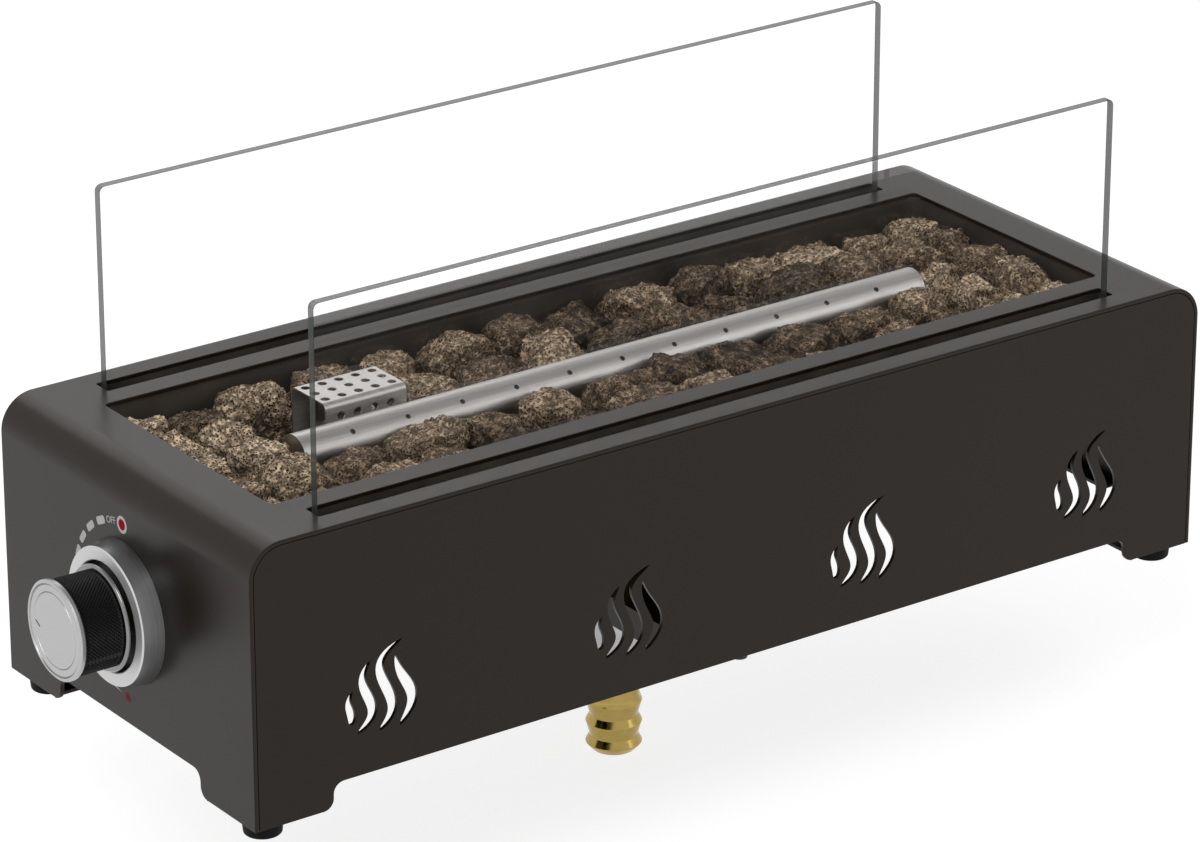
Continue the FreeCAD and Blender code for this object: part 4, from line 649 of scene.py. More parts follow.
def spun(name, profile, centre, way, steps=64):
    """Spin a profile of (distance along, radius) points about an axis. Its ends meet the axis, or
    it is a ring."""
    way = Vector(way)
    aside = way.orthogonal().normalized()
    points = [Vector(centre) + way * along + aside * radius for along, radius in profile]
    ring = profile[0][1] > 0
    edges = [(k, (k + 1) % len(points)) for k in range(len(points) - (0 if ring else 1))]
    piece = drawn(name, points, edges, [])
    pick(piece, "VERT")
    bpy.ops.mesh.spin(steps=steps, angle=2 * math.pi, center=centre, axis=way)
    bpy.ops.mesh.select_all(action="SELECT")
    bpy.ops.mesh.remove_doubles(threshold=MERGE)
    bpy.ops.mesh.normals_make_consistent(inside=False)
    close()
    return piece


rubber = finish("rubber", (0.006, 0.006, 0.006), (0.010, 0.010, 0.010), (0.6, 0.75), size=0.002,
                bump=0.00003, specular=0.12)
first = None
for node in ("foot_front_left", "foot_front_right", "foot_back_left", "foot_back_right"):
    low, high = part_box(node)
    centre = (low + high) / 2
    if first is None:
        profile = [(0, FOOT_RECESS), (0, FOOT_RADIUS - 2 * FOOT_EDGE),
                   (FOOT_EDGE, FOOT_RADIUS - FOOT_EDGE), (high.z, FOOT_RADIUS), (high.z, FOOT_BORE),
                   (FOOT_RECESS_DEEP, FOOT_BORE), (FOOT_RECESS_DEEP, FOOT_RECESS)]
        foot = spun(node + "_rubber", profile, (centre.x, centre.y, 0), (0, 0, 1))
        finish_edges(foot, FOOT_EDGE / 2, 3)
        paint(foot, rubber)
        first = centre
        model = foot
    else:
        foot = copied(model, node + "_rubber", Matrix.Translation(centre - first))
    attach(foot, "housing")
    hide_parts(node)

# ---- Gas train ----
# Drawn aluminium tubes and a die-cast valve with turned brass fittings bring the gas to the burner. A
# black piezo unit feeds the ceramic electrode, and a copper lead runs from the flame sensor.
aluminium = finish("aluminium", (0.52, 0.52, 0.53), (0.60, 0.60, 0.61), (0.35, 0.45), metallic=1.0,
                   size=0.004)
for node in ("mixer_tube", "supply_tube", "gas_valve_body"):
    dress(node, aluminium)
brass = finish("brass", (0.355, 0.258, 0.072), (0.415, 0.302, 0.096), (0.13, 0.20), metallic=1.0,
               size=0.004)
for node in ("orifice", "inlet_elbow", "inlet_locknut", "supply_nuts", "magnet_nut"):
    dress(node, brass)
dress("valve_spindle", brass, "knob")
black_plastic = finish("black_plastic", (0.004, 0.004, 0.004), (0.006, 0.006, 0.006), (0.45, 0.55),
                       size=0.002, bump=0.00002, specular=0.25)
for node in ("piezo_igniter", "ignition_lead"):
    dress(node, black_plastic)
copper = finish("copper", (0.55, 0.25, 0.14), (0.66, 0.34, 0.21), (0.3, 0.4), metallic=1.0, size=0.003)
dress("thermocouple_lead", copper)
ceramic = finish("ceramic", (0.66, 0.63, 0.58), (0.76, 0.74, 0.69), (0.5, 0.7), size=0.002)
dress("spark_electrode", ceramic)

# ---- Hose barb ----
# Turned brass with three sharp crests that grip the hose, pressed on a plated steel stem that has a
# hexagon for the spanner and the thread above it.
BARB_BORE = 0.0065
BARB_TIP = 0.0109
BARB_TIP_EDGE = 0.001
BARB_CREST = 0.0129
BARB_ROOT = 0.011
BARB_NECK = 0.0115
BARB_JOINT = 0.040          # where the steel stem begins, above the tip
BARB_GROOVE = 0.0003
BARB_CRESTS = (0.0036, 0.0138, 0.0241)      # above the tip
BARB_FLARE = 0.0036
BARB_HEX = 0.0156
BARB_HEX_HEIGHT = 0.012
BARB_THREAD = 0.008
BARB_EDGE = 0.0003
BARB_STEPS = 96

barb_low, barb_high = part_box("inlet_barb")
seat = TOE_Z + SHEET - barb_low.z
profile = [(0, BARB_BORE), (0, BARB_TIP - BARB_TIP_EDGE), (BARB_TIP_EDGE, BARB_TIP)]
for crest in BARB_CRESTS:
    root = BARB_NECK if crest == BARB_CRESTS[-1] else BARB_ROOT
    profile += [(crest - BARB_EDGE, BARB_CREST - BARB_EDGE / 3), (crest, BARB_CREST),
                (crest + BARB_FLARE, root)]
profile += [(BARB_JOINT - BARB_GROOVE, BARB_NECK), (BARB_JOINT, BARB_NECK - BARB_GROOVE),
            (BARB_JOINT + BARB_GROOVE, BARB_NECK), (seat, BARB_NECK), (seat, BARB_THREAD),
            (barb_high.z - barb_low.z, BARB_THREAD), (barb_high.z - barb_low.z, BARB_BORE)]
barb = spun("hose_barb", profile, (0, 0, barb_low.z), (0, 0, 1), BARB_STEPS)
hexagon = cylinder(6, BARB_HEX, BARB_HEX_HEIGHT, (0, 0, TOE_Z + SHEET - BARB_HEX_HEIGHT / 2))
combine(barb, [hexagon], "UNION")
finish_edges(barb, BARB_EDGE, 3)
paint(barb, brass, zinc)
for face in barb.data.polygons:
    face.material_index = 1 if face.center.z > barb_low.z + BARB_JOINT else 0
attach(barb, "housing")
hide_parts("inlet_barb")

# ---- Burner ----
# Stainless sheet folded to a half round, brushed along its length, with a row of drilled ports along
# each shoulder. Both ends are closed by flat plates.
BURNER_RADIUS = 0.010
BURNER_SIDE = 0.006
BURNER_SHEET = 0.001
BURNER_STEPS = 24
PORT_RADIUS = 0.0012
PORT_PITCH = 0.0284
PORTS = 11
PORT_ANGLE = math.radians(40)
PORT_STEPS = 16
BURNER_EDGE = 0.0002
DRILLED_ANGLE = 35

tube_low, tube_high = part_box("burner_tube")
ridge_centre = tube_high.z - BURNER_RADIUS


def burner_outline(inset):
    """Section of the burner: straight sides under a half round."""
    radius = BURNER_RADIUS - inset
    base = ridge_centre - BURNER_SIDE + inset
    outline = [(-radius, base), (radius, base)]
    for k in range(BURNER_STEPS + 1):
        turn = math.pi * k / BURNER_STEPS
        outline.append((radius * math.cos(turn), ridge_centre + radius * math.sin(turn)))
    return outline


stainless = finish("stainless", (0.41, 0.39, 0.38), (0.50, 0.48, 0.465), (0.32, 0.42), metallic=1.0,
                   size=0.0007, stretch=(0.02, 1, 1))
burner = quarter_turn(prism("burner_skin", burner_outline(0), tube_low.x, tube_high.x))
bore = quarter_turn(prism("bore", burner_outline(BURNER_SHEET), tube_low.x - PAST, tube_high.x + PAST))
combine(burner, [bore])
for side in (-1, 1):
    way = Vector((0, side * math.sin(PORT_ANGLE), math.cos(PORT_ANGLE)))
    shoulder = Vector((0, 0, ridge_centre)) + way * BURNER_RADIUS
    places = [shoulder + Vector((PORT_PITCH * (k - (PORTS - 1) / 2), 0, 0)) for k in range(PORTS)]
    combine(burner, [drill(places, PORT_RADIUS, PORT_STEPS, way, BURNER_SHEET)])
finish_edges(burner, BURNER_EDGE, angle=DRILLED_ANGLE)
paint(burner, stainless)
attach(burner, "housing")
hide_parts("burner_tube")
for node in ("burner_end_left", "burner_end_right", "burner_brackets", "thermocouple",
             "electrode_wire"):
    dress(node, stainless)

# ---- Igniter cover ----
# A perforated stainless hood over the spark electrode and the flame sensor, open at both ends, with a
# short lip towards the burner and a foot on the tray.
COVER_SHEET = 0.0008
COVER_BEND = 0.003
COVER_LIP = 0.022
COVER_FOOT = 0.007
COVER_HOLE = 0.002
COVER_PITCH = (0.0086, 0.0078)
COVER_COLUMNS = 5
COVER_TOP_ROWS = 3
COVER_SIDE_ROWS = 2
COVER_SIDE_FIRST = 0.0069
COVER_HOLE_STEPS = 20
COVER_BEND_STEPS = 6
COVER_EDGE = COVER_SHEET / 5

hood_low, hood_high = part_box("igniter_shield")


def hood(name, shrink, reach):
    """A block along X with bent top edges, smaller all round but past both ends."""
    low = (hood_low.y + shrink, -hood_high.x - reach, hood_low.z - (PAST if shrink else 0))
    high = (hood_high.y - shrink, -hood_low.x + reach, hood_high.z - shrink)
    return quarter_turn(folded(name, low, high, COVER_BEND - shrink, COVER_BEND_STEPS))


cover = hood("igniter_cover", 0, 0)
lip_room = block("room", (hood_low.x - PAST, hood_low.y - PAST, hood_low.z - PAST),
                 (hood_high.x + PAST, hood_low.y + 2 * COVER_SHEET, hood_high.z - COVER_LIP))
combine(cover, [hood("hollow", COVER_SHEET, PAST), lip_room])
columns = [(hood_low.x + hood_high.x) / 2 + COVER_PITCH[0] * (k - (COVER_COLUMNS - 1) / 2)
           for k in range(COVER_COLUMNS)]
middle_y = (hood_low.y + hood_high.y) / 2
tops = [(x, middle_y + COVER_PITCH[1] * (k - (COVER_TOP_ROWS - 1) / 2), hood_high.z)
        for x in columns for k in range(COVER_TOP_ROWS)]
sides = [(x + COVER_PITCH[0] / 2, hood_low.y, hood_high.z - COVER_SIDE_FIRST - COVER_PITCH[1] * k)
         for x in columns[:-1] for k in range(COVER_SIDE_ROWS)]
combine(cover, [drill(tops, COVER_HOLE, COVER_HOLE_STEPS, (0, 0, 1), COVER_SHEET),
                drill(sides, COVER_HOLE, COVER_HOLE_STEPS, (0, 1, 0), COVER_SHEET)])
finish_edges(cover, COVER_EDGE, angle=DRILLED_ANGLE)
foot_plate = block("foot", (hood_low.x, hood_high.y - COVER_FOOT, hood_low.z),
                   (hood_high.x, hood_high.y - COVER_SHEET, hood_low.z + COVER_SHEET))
finish_edges(foot_plate, COVER_EDGE)
cover = joined([cover, foot_plate])
paint(cover, stainless)
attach(cover, "housing")
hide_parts("igniter_shield")

# ---- Glass guards ----
# 4 mm tempered panes with ground edges and rounded top corners. They stand loose in the slots and
# lift out.
GLASS_ROUND = 0.003
GLASS_ROUND_STEPS = 6
GLASS_EDGE = 0.0003
GLASS_FLAT = 0.99           # a face is ground where its normal runs less than this along Y
GLASS_ALPHA = 0.06
GROUND_ALPHA = 0.85


def clear_glass():
    """Clear glass, very slightly green."""
    material, shader = surface("tempered_glass", {"Roughness": 0.0, "IOR": 1.03, "Alpha": GLASS_ALPHA,
                                                  "Transmission Weight": 1.0})
    place = add_node(material, "TexCoord")
    haze = add_node(material, "TexNoise", {"Scale": 30.0})
    tint = add_ramp(material, (0.0, (0.96, 0.985, 0.975)), (1.0, (0.985, 0.998, 0.993)))
    wire(material, (place, "Object", haze, "Vector"),
         (haze, "Fac", tint, "Fac"),
         (tint, "Color", shader, "Base Color"))
    return material


glass_clear = clear_glass()
ground_edge = finish("ground_edge", (0.030, 0.038, 0.032), (0.046, 0.056, 0.049), (0.35, 0.45),
                     size=0.004, specular=0.3)
ground_edge.node_tree.nodes["Principled BSDF"].inputs["Alpha"].default_value = GROUND_ALPHA
for name in ("front", "back"):
    low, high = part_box("glass_" + name)
    pane = folded("pane_" + name, low, high, GLASS_ROUND, GLASS_ROUND_STEPS)
    finish_edges(pane, GLASS_EDGE)
    paint(pane, glass_clear, ground_edge)
    for face in pane.data.polygons:
        face.material_index = 0 if abs(face.normal.y) > GLASS_FLAT else 1
    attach(pane, "glass_" + name + "_guard")
    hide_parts("glass_" + name)

# ---- Lava rocks ----
# Broken volcanic scoria, 20 to 45 mm, brown to grey and full of burst bubbles. Each rock is carved
# from the solid block that holds its place.
ROCK_SEED = 4
ROCK_CHIPS = 9
ROCK_CHIP_DEPTH = (0.60, 0.84)      # where a chip's flat lies, of the way from middle to corner
ROCK_CHIP_RISE = (-0.1, 1)          # chips face up more than down
ROCK_TURN = 0.40
ROCK_SWELL = (0.98, 1.20)           # only where other rocks lie on both sides
ROCK_MARGIN = 0.002
ROCK_ROUND = 0.0028
ROCK_GRAIN = 0.0012
# how much paler each heap's stones are; the front heap is set darker as painted shade
ROCK_HEAPS = (("front", -0.03), ("back", 0.0), ("left", 0.10), ("right", 0.08))    # and how pale
ROCK_TONE = (-0.10, 0.14)
# painted shade between the stones: darker towards the bottom of the heap
ROCK_LOW_SHADE = (0.017, 0.005, 0.15)    # full and none below the top, and how dark
# Kind, size, depth and level of each of the three roughnesses.
CRAGS = (("CLOUDS", 0.012, 0.0050, 0.60), ("CLOUDS", 0.0042, 0.0024, 0.58),
         ("VORONOI", 0.0030, 0.0016, 0.9))

heap_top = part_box("lava_rocks_front")[1].z


def lava():
    """Porous rock: patches of tan and brown, its own tone for each stone, dark pits painted as the
    shade inside the pores, and painted shade low down between the stones."""
    material, shader = surface("lava", {"Roughness": 0.9, "Specular IOR Level": 0.2})
    place = add_node(material, "TexCoord")
    patches = add_node(material, "TexNoise", {"Scale": 170.0, "Detail": 8.0, "Roughness": 0.75})
    stone_tone = add_node(material, "Attribute", attribute_name="tone")
    split = add_node(material, "SeparateXYZ")
    # painted shade: the stones get darker lower down in the heap
    low_shade = remap(material, heap_top - ROCK_LOW_SHADE[0], heap_top - ROCK_LOW_SHADE[1], -ROCK_LOW_SHADE[2], 0.0)
    low_shaded_tone = add_node(material, "Math", operation="ADD")
    shifted = add_node(material, "Math", operation="ADD")
    tones = add_ramp(material, (0.34, (0.044, 0.033, 0.025)), (0.52, (0.32, 0.228, 0.150)),
                     (0.72, (0.80, 0.62, 0.43)))
    wander = add_node(material, "TexNoise", {"Scale": 380.0})
    astray = add_node(material, "VectorMath", {1: (0.0010, 0.0010, 0.0010)}, operation="MULTIPLY_ADD")
    pores = add_node(material, "TexVoronoi", {"Scale": 820.0})
    pits = remap(material, 0.22, 0.46)
    crumb = add_node(material, "TexNoise", {"Scale": 420.0, "Detail": 3.0})
    crumbs = remap(material, 0.42, 0.56, 0.30)
    open_share = add_node(material, "Math", operation="MULTIPLY")
    # the pits are painted dark as the shade inside the pores, and the same mask bumps them
    paint_pore_shade = add_node(material, "Mix", {"A": (0.022, 0.017, 0.014, 1)}, data_type="RGBA")
    relief = add_node(material, "Bump", {"Distance": 0.0010})
    wire(material, (place, "Object", patches, "Vector"), (place, "Object", wander, "Vector"),
         (place, "Object", crumb, "Vector"), (place, "Object", split, "Vector"),
         (place, "Object", astray, 2),
         (wander, "Color", astray, 0),
         (astray, "Vector", pores, "Vector"),
         (split, "Z", low_shade, "Value"),
         (low_shade, "Result", low_shaded_tone, 0),
         (stone_tone, "Fac", low_shaded_tone, 1),
         (patches, "Fac", shifted, 0),
         (low_shaded_tone, "Value", shifted, 1),
         (shifted, "Value", tones, "Fac"),
         (pores, "Distance", pits, "Value"),
         (crumb, "Fac", crumbs, "Value"),
         (pits, "Result", open_share, 0),
         (crumbs, "Result", open_share, 1),
         (open_share, "Value", paint_pore_shade, "Factor"),
         (tones, "Color", paint_pore_shade, "B"),
         (paint_pore_shade, "Result", shader, "Base Color"),
         (open_share, "Value", relief, "Height"),
         (relief, "Normal", shader, "Normal"))
    return material


crags = []
for kind, size, depth, level in CRAGS:
    texture = bpy.data.textures.new("crag", kind)
    texture.noise_scale = size
    crags.append((texture, depth, level))


def chip(stone, heap_low, heap_high):
    """Knock flats off a block at random, and turn it a little where it lies."""
    corners = [corner.co for corner in stone.data.vertices]
    low = Vector(min(corner[k] for corner in corners) for k in range(3))
    high = Vector(max(corner[k] for corner in corners) for k in range(3))
    middle = (low + high) / 2
    half = (high - low) / 2
    for _ in range(ROCK_CHIPS):
        way = Vector((dice.uniform(-1, 1), dice.uniform(-1, 1), dice.uniform(*ROCK_CHIP_RISE)))
        way.normalize()
        reach = sum(abs(way[k]) * half[k] for k in range(3)) * dice.uniform(*ROCK_CHIP_DEPTH)
        pick(stone, "FACE")
        bpy.ops.mesh.bisect(plane_co=middle + way * reach, plane_no=way, use_fill=True,
                            clear_outer=True)
        close()
    there = Matrix.Translation(middle)
    change = Matrix.Rotation(dice.uniform(-ROCK_TURN, ROCK_TURN), 4, "Z")
    swell = []
    for k in range(2):
        room = min(low[k] - heap_low[k], heap_high[k] - high[k]) > ROCK_MARGIN
        swell.append(dice.uniform(*ROCK_SWELL) if room else 1)
    change = Matrix.Diagonal(swell + [1, 1]) @ change
    stone.data.transform(there @ change @ there.inverted())


def carve(stone):
    """Wear a block's corners down and roughen it at three sizes."""
    bevel = stone.modifiers.new("worn", "BEVEL")
    bevel.width = ROCK_ROUND
    bevel.segments = 2
    bevel.limit_method = "ANGLE"
    remesh = stone.modifiers.new("skin", "REMESH")
    remesh.mode = "VOXEL"
    remesh.voxel_size = ROCK_GRAIN
    for texture, depth, level in crags:
        crag = stone.modifiers.new("crag", "DISPLACE")
        crag.texture = texture
        crag.texture_coords = "LOCAL"
        crag.strength = depth
        crag.mid_level = level
    for modifier in list(stone.modifiers):
        apply_modifier(stone, modifier)


lava_rock = lava()
dice = random.Random(ROCK_SEED)
for side, heap_tone_and_shade in ROCK_HEAPS:
    node = "lava_rocks_" + side
    heap = dress(node, lava_rock)
    heap.parent = None
    pick(heap, "FACE")
    bpy.ops.mesh.separate(type="LOOSE")
    close()
    stones = sorted(bpy.context.selected_objects, key=lambda stone: stone.name)
    for stone in stones:
        chip(stone, *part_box(node))
        carve(stone)
        tone = stone.data.attributes.new("tone", "FLOAT", "POINT")
        # each stone's random tone plus its heap's share, which for the front heap is painted shade
        value = heap_tone_and_shade + dice.uniform(*ROCK_TONE)
        tone.data.foreach_set("value", [value] * len(stone.data.vertices))
    heap = joined(stones)
    heap.name = "rocks_" + side
    bpy.ops.object.shade_smooth()
    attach(heap, "housing")
    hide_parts(node)

# ---- Bezel ----
# A die-cast zinc dish screwed over the valve's nose: satin cone outside, bright flat face, and a
# pocket that the knob pushes into, painted black as the shade in it.
BEZEL_RADIUS = 0.0325
BEZEL_FACE = 0.0304
BEZEL_POCKET = 0.0244
BEZEL_FLOOR = 0.003
BEZEL_EDGE = 0.0005
NOSE_HOLE = 0.00755
BEZEL_FACING = -0.5         # X of the normal from which a face belongs to the flat one
TURN_STEPS = 128

bezel_low, bezel_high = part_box("bezel")
AXIS = Vector((wrap_low.x, 0, knob_z))
OUTWARDS = Vector((-1, 0, 0))
bezel_depth = bezel_high.x - bezel_low.x


def turned(name, light, dark, roughness, ring_size):
    """Metal turned on a lathe: fine rings about the knob's axis."""
    material, shader = surface(name, {"Metallic": 1.0})
    place = add_node(material, "TexCoord")
    about_axis = add_node(material, "Mapping", {"Location": (0, 0, -AXIS.z), "Scale": (0, 1, 1)})
    reach = add_node(material, "VectorMath", operation="LENGTH")
    rings = add_node(material, "TexNoise", {"Scale": 1 / ring_size, "Detail": 3.0},
                     noise_dimensions="1D")
    wire(material, (place, "Object", about_axis, "Vector"),
         (about_axis, "Vector", reach, 0),
         (reach, "Value", rings, "W"))
    follow(material, shader, rings, (0.0, 1.0), dark, light, roughness)
    return material


satin_zinc = turned("satin_zinc", (0.24, 0.24, 0.245), (0.215, 0.215, 0.22), (0.29, 0.32), 0.0002)
faced_zinc = turned("faced_zinc", (0.66, 0.66, 0.66), (0.58, 0.58, 0.585), (0.50, 0.58), 0.0003)
# black painted shade, for the bezel's pocket and the knob's pointer
pocket_black = finish("pocket_black", (0.012, 0.012, 0.012), (0.02, 0.02, 0.02), (0.4, 0.5), size=0.002)
profile = [(0, NOSE_HOLE), (0, BEZEL_RADIUS), (bezel_depth - BEZEL_EDGE, BEZEL_FACE + BEZEL_EDGE / 2),
           (bezel_depth, BEZEL_FACE - BEZEL_EDGE), (bezel_depth, BEZEL_POCKET + BEZEL_EDGE),
           (bezel_depth - BEZEL_EDGE, BEZEL_POCKET), (BEZEL_FLOOR, BEZEL_POCKET),
           (BEZEL_FLOOR, NOSE_HOLE)]
bezel = spun("bezel_dish", profile, AXIS, OUTWARDS, TURN_STEPS)
finish_edges(bezel, BEZEL_EDGE / 3)
paint(bezel, satin_zinc, pocket_black, faced_zinc)
for face in bezel.data.polygons:
    reach = (face.center - AXIS).yz.length
    if face.center.x < bezel_low.x + 2 * BEZEL_EDGE:
        face.material_index = 2 if face.normal.x < BEZEL_FACING else 0
    else:
        # the pocket's walls and floor get the black painted shade
        face.material_index = 1 if reach < BEZEL_POCKET + BEZEL_EDGE / 2 else 0
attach(bezel, "housing")
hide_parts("bezel")

# ---- Printed marks ----
# Screen printed round the bezel on the coated end: a red dot at off, bars that shrink as the flame
# is turned down, and a small red flame at the bottom.
MARK_RADIUS = 0.0397
MARK_THICK = 0.00005
DOT_RADIUS = 0.0039
DOT_INNER = 0.0025
OFF_SIZE = 0.0044
OFF_TURN = 12.8
OFF_STEPS = 4
BAR_TURNS = (25.8, 40.9, 55.3, 69.0, 82.5, 96.0, 109.5, 123.0, 136.5, 150.0)
BAR_FIRST = (0.0070, 0.0036)
BAR_LAST = (0.0056, 0.0015)
WEDGE_TURNS = (160.0, 173.5)
WEDGE_WIDTH = 0.0018
WEDGE_STEPS = 10
ICON_TURN = 180
ICON_SHARE = 0.125
ICON_MIDDLE = Vector((0, 0.05))     # of a vent's strokes


def at_turn(degrees):
    """Turn about the knob's axis, counterclockwise for someone who faces the knob."""
    centre = Matrix.Translation(AXIS)
    return centre @ Matrix.Rotation(-math.radians(degrees), 4, "X") @ centre.inverted()


def printed(name, outline, degrees, layer=1):
    """A thin flat mark from (right, up) points round its middle, at a place on the marks' circle."""
    points = [(wrap_low.x - layer * MARK_THICK, -right, AXIS.z + MARK_RADIUS + up)
              for right, up in outline]
    mark = extruded(name, points, (layer * MARK_THICK, 0, 0))
    mark.data.transform(at_turn(degrees))
    return mark


def disc(radius, steps=48):
    """Outline of a disc."""
    return [(radius * math.cos(2 * math.pi * k / steps), radius * math.sin(2 * math.pi * k / steps))
            for k in range(steps)]


def bar(width, height, radius, steps=5):
    """Outline of a bar with rounded corners."""
    outline = []
    for corner in range(4):
        middle_x = (width / 2 - radius) * (1 if corner in (0, 3) else -1)
        middle_y = (height / 2 - radius) * (1 if corner in (0, 1) else -1)
        for k in range(steps + 1):
            turn = math.pi / 2 * (corner + k / steps)
            outline.append((middle_x + radius * math.cos(turn), middle_y + radius * math.sin(turn)))
    return outline


white_ink = finish("white_ink", (0.52, 0.52, 0.51), (0.60, 0.60, 0.59), (0.5, 0.6), size=0.001)
red_ink = finish("red_ink", (0.30, 0.001, 0.004), (0.37, 0.002, 0.006), (0.5, 0.6), size=0.001,
                 specular=0.04)
white_marks = [printed("ring", disc(DOT_RADIUS), 0)]
for k, turn in enumerate(BAR_TURNS):
    share = k / (len(BAR_TURNS) - 1)
    width = BAR_FIRST[0] + (BAR_LAST[0] - BAR_FIRST[0]) * share
    height = BAR_FIRST[1] + (BAR_LAST[1] - BAR_FIRST[1]) * share
    white_marks.append(printed("bar", bar(width, height, height / 3), turn))
outer = []
inner = []
for k in range(WEDGE_STEPS + 1):
    share = k / WEDGE_STEPS
    turn = math.radians((WEDGE_TURNS[1] - WEDGE_TURNS[0]) * (share - 0.5))
    half = WEDGE_WIDTH / 2 * (1 - share) + MARK_THICK
    for rim, radius in ((outer, MARK_RADIUS + half), (inner, MARK_RADIUS - half)):
        rim.append((-radius * math.sin(turn), radius * math.cos(turn) - MARK_RADIUS))
white_marks.append(printed("wedge", outer + inner[::-1], sum(WEDGE_TURNS) / 2))
deselect_all()
bpy.ops.object.text_add()
off = bpy.context.object
off.data.body = "OFF"
off.data.align_x = "CENTER"
off.data.align_y = "CENTER"
off.data.size = OFF_SIZE
off.data.extrude = MARK_THICK / 2
off.data.resolution_u = OFF_STEPS
bpy.ops.object.convert(target="MESH")
off = bpy.context.object
facing = Matrix(((0, 0, -1), (-1, 0, 0), (0, 1, 0))).to_4x4()
facing.translation = (wrap_low.x - MARK_THICK / 2, 0, AXIS.z + MARK_RADIUS)
off.data.transform(at_turn(OFF_TURN) @ facing)
white_marks.append(off)
marks = joined(white_marks)
marks.name = "printed_white"
paint(marks, white_ink)
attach(marks, "housing")

red_marks = [printed("dot", disc(DOT_INNER), 0, 2)]
for stroke in STROKES[1:]:
    outline = [tuple((point - ICON_MIDDLE) * ICON_SHARE) for point in stroke_outline(*stroke)]
    red_marks.append(printed("icon", [(-x, -z) for x, z in outline], ICON_TURN))
marks = joined(red_marks)
marks.name = "printed_red"
paint(marks, red_ink)
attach(marks, "housing")

# ---- Knob ----
# A moulded black grip with a diamond knurl, a chromed ring pressed on behind it and a turned
# aluminium face with a rim, a fine ring and a short pointer, a black bar painted as the shade of an
# engraved notch.
KNOB_BACK = 0.0106
RING_WIDTH = 0.0026
RING_SEAT = 0.0205
RING_RADIUS = 0.0236
GRIP_RADIUS = 0.0214
GRIP_WALL = 0.0026
GRIP_BEVEL = 0.0004
HUB_RADIUS = 0.0075
HUB_BACK = 0.007
KNURLS = 78                 # points of the knurl round the grip
KNURL_ROWS = 20
KNURL_DEPTH = 0.0008
KNURL_MARGIN = 0.0005
CAP_THICK = 0.003
CAP_RADIUS = 0.0222
CAP_EDGE = 0.0007
CAP_RIM = 0.0008
CAP_SUNK = 0.0003
FACE_RING = 0.0168
FACE_RING_HALF = 0.0003
FACE_RING_DEEP = 0.0006
POINTER = (0.0050, 0.0007)
POINTER_PROUD = 0.00005
POINTER_ANGLE = 95
POINTER_LEAN = 35
CAP_ANGLE = 25
SAME_RADIUS = 1e-5

face_end = wrap_low.x - knob_low.x
grip_end = face_end - CAP_THICK
ring_end = KNOB_BACK + RING_WIDTH
web = grip_end - GRIP_WALL
knurl_start = ring_end + KNURL_MARGIN
knurl_pitch = (grip_end - KNURL_MARGIN - knurl_start) / KNURL_ROWS
profile = [(grip_end, 0), (grip_end, GRIP_RADIUS - GRIP_BEVEL)]
profile += [(knurl_start + knurl_pitch * k, GRIP_RADIUS) for k in range(KNURL_ROWS, -1, -1)]
profile += [(ring_end, GRIP_RADIUS - GRIP_BEVEL), (ring_end, RING_SEAT), (KNOB_BACK, RING_SEAT),
            (KNOB_BACK, GRIP_RADIUS - GRIP_WALL), (web, GRIP_RADIUS - GRIP_WALL), (web, HUB_RADIUS),
            (HUB_BACK, HUB_RADIUS), (HUB_BACK, 0)]
grip = spun("knob_grip", profile, AXIS, OUTWARDS, 2 * KNURLS)


def knurl_valley(corner, normal):
    """Every other corner of the grip's grid, as on a chessboard."""
    out = corner - AXIS
    if abs(out.yz.length - GRIP_RADIUS) > SAME_RADIUS:
        return False
    row = round((-out.x - knurl_start) / knurl_pitch)
    column = round(math.atan2(out.y, out.z) / (math.pi / KNURLS))
    return (row + column) % 2 == 1


pick(grip, "VERT", knurl_valley)
bpy.ops.transform.shrink_fatten(value=-KNURL_DEPTH)
close()
pick(grip, "FACE", lambda middle, way: abs((middle - AXIS).yz.length - GRIP_RADIUS) < KNURL_DEPTH)
bpy.ops.mesh.quads_convert_to_tris(quad_method="SHORTEST_DIAGONAL")
close()
paint(grip, black_plastic)
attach(grip, "knob")
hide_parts("knob_body")

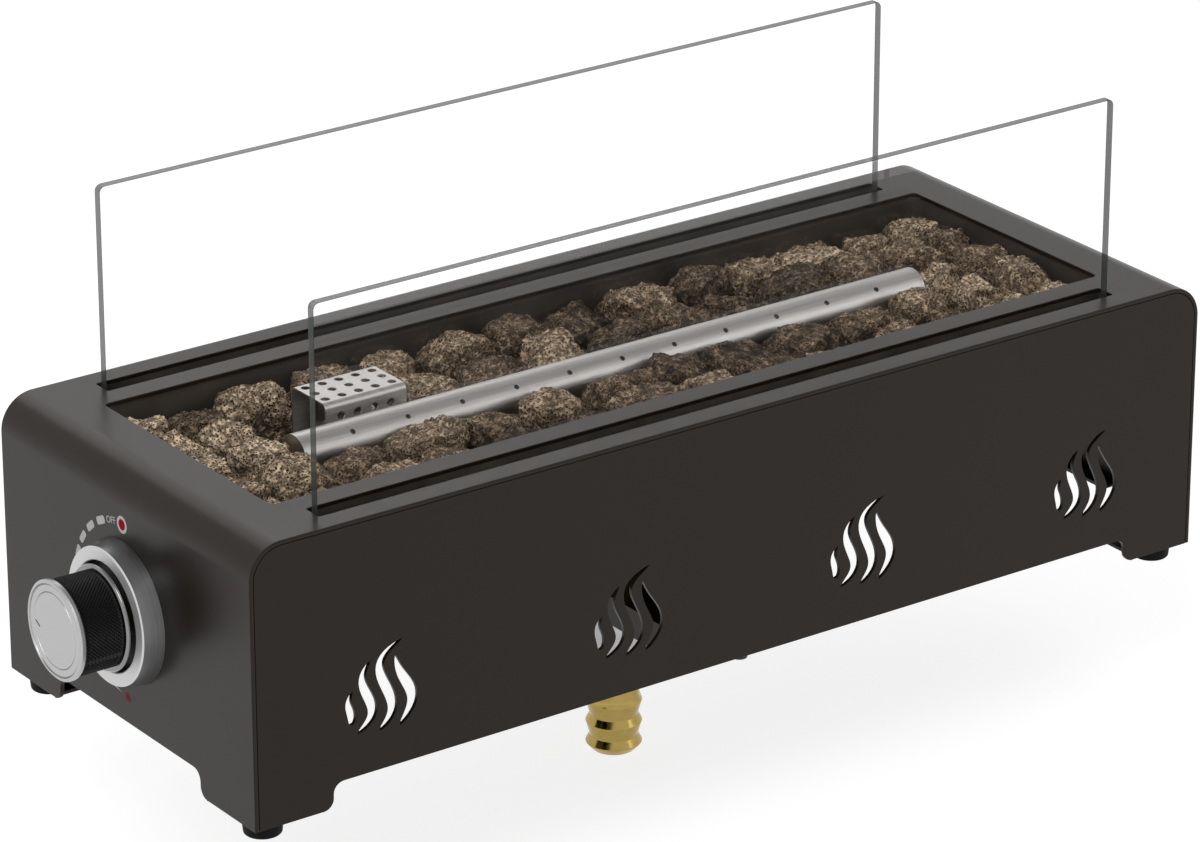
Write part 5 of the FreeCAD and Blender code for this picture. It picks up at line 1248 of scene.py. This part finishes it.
chrome = turned("chrome", (0.27, 0.265, 0.26), (0.22, 0.215, 0.21), (0.16, 0.22), 0.001)
third = RING_WIDTH / 3
profile = [(KNOB_BACK, RING_SEAT), (KNOB_BACK, RING_RADIUS - third), (KNOB_BACK + third, RING_RADIUS),
           (ring_end - third, RING_RADIUS), (ring_end, RING_RADIUS - third), (ring_end, RING_SEAT)]
ring = spun("knob_bright_ring", profile, AXIS, OUTWARDS, TURN_STEPS)
finish_edges(ring, third / 3, 3)
paint(ring, chrome)
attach(ring, "knob")
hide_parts("knob_ring")

spun_aluminium = turned("spun_aluminium", (0.50, 0.50, 0.50), (0.42, 0.42, 0.42), (0.34, 0.42), 0.0003)
sunk = face_end - CAP_SUNK
profile = [(grip_end, 0), (grip_end, CAP_RADIUS - CAP_EDGE), (grip_end + CAP_EDGE, CAP_RADIUS),
           (face_end - CAP_EDGE, CAP_RADIUS), (face_end, CAP_RADIUS - CAP_EDGE),
           (face_end, CAP_RADIUS - CAP_EDGE - CAP_RIM),
           (sunk - FACE_RING_DEEP, CAP_RADIUS - CAP_EDGE - CAP_RIM - CAP_SUNK),
           (sunk, CAP_RADIUS - CAP_EDGE - CAP_RIM - 3 * CAP_SUNK),
           (sunk, FACE_RING + FACE_RING_HALF), (sunk - FACE_RING_DEEP, FACE_RING),
           (sunk, FACE_RING - FACE_RING_HALF), (sunk, 0)]
cap = spun("knob_face", profile, AXIS, OUTWARDS, TURN_STEPS)
finish_edges(cap, CAP_SUNK / 3, angle=CAP_ANGLE)
paint(cap, spun_aluminium)
pointer = block("pointer",
                (AXIS.x - sunk - POINTER_PROUD, -POINTER[1] / 2, AXIS.z + FACE_RING - POINTER[0]),
                (AXIS.x - sunk + CAP_SUNK, POINTER[1] / 2, AXIS.z + FACE_RING - 3 * FACE_RING_HALF))
lean = Matrix.Translation((0, 0, AXIS.z + FACE_RING - POINTER[0] / 2))
lean = lean @ Matrix.Rotation(math.radians(POINTER_LEAN), 4, "X") @ lean.inverted()
pointer.data.transform(at_turn(POINTER_ANGLE) @ lean)
finish_edges(pointer, POINTER_PROUD / 2)
# the pointer is painted black as the shade of an engraved notch
paint(pointer, pocket_black)
cap = joined([cap, pointer])
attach(cap, "knob")
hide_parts("knob_cap")
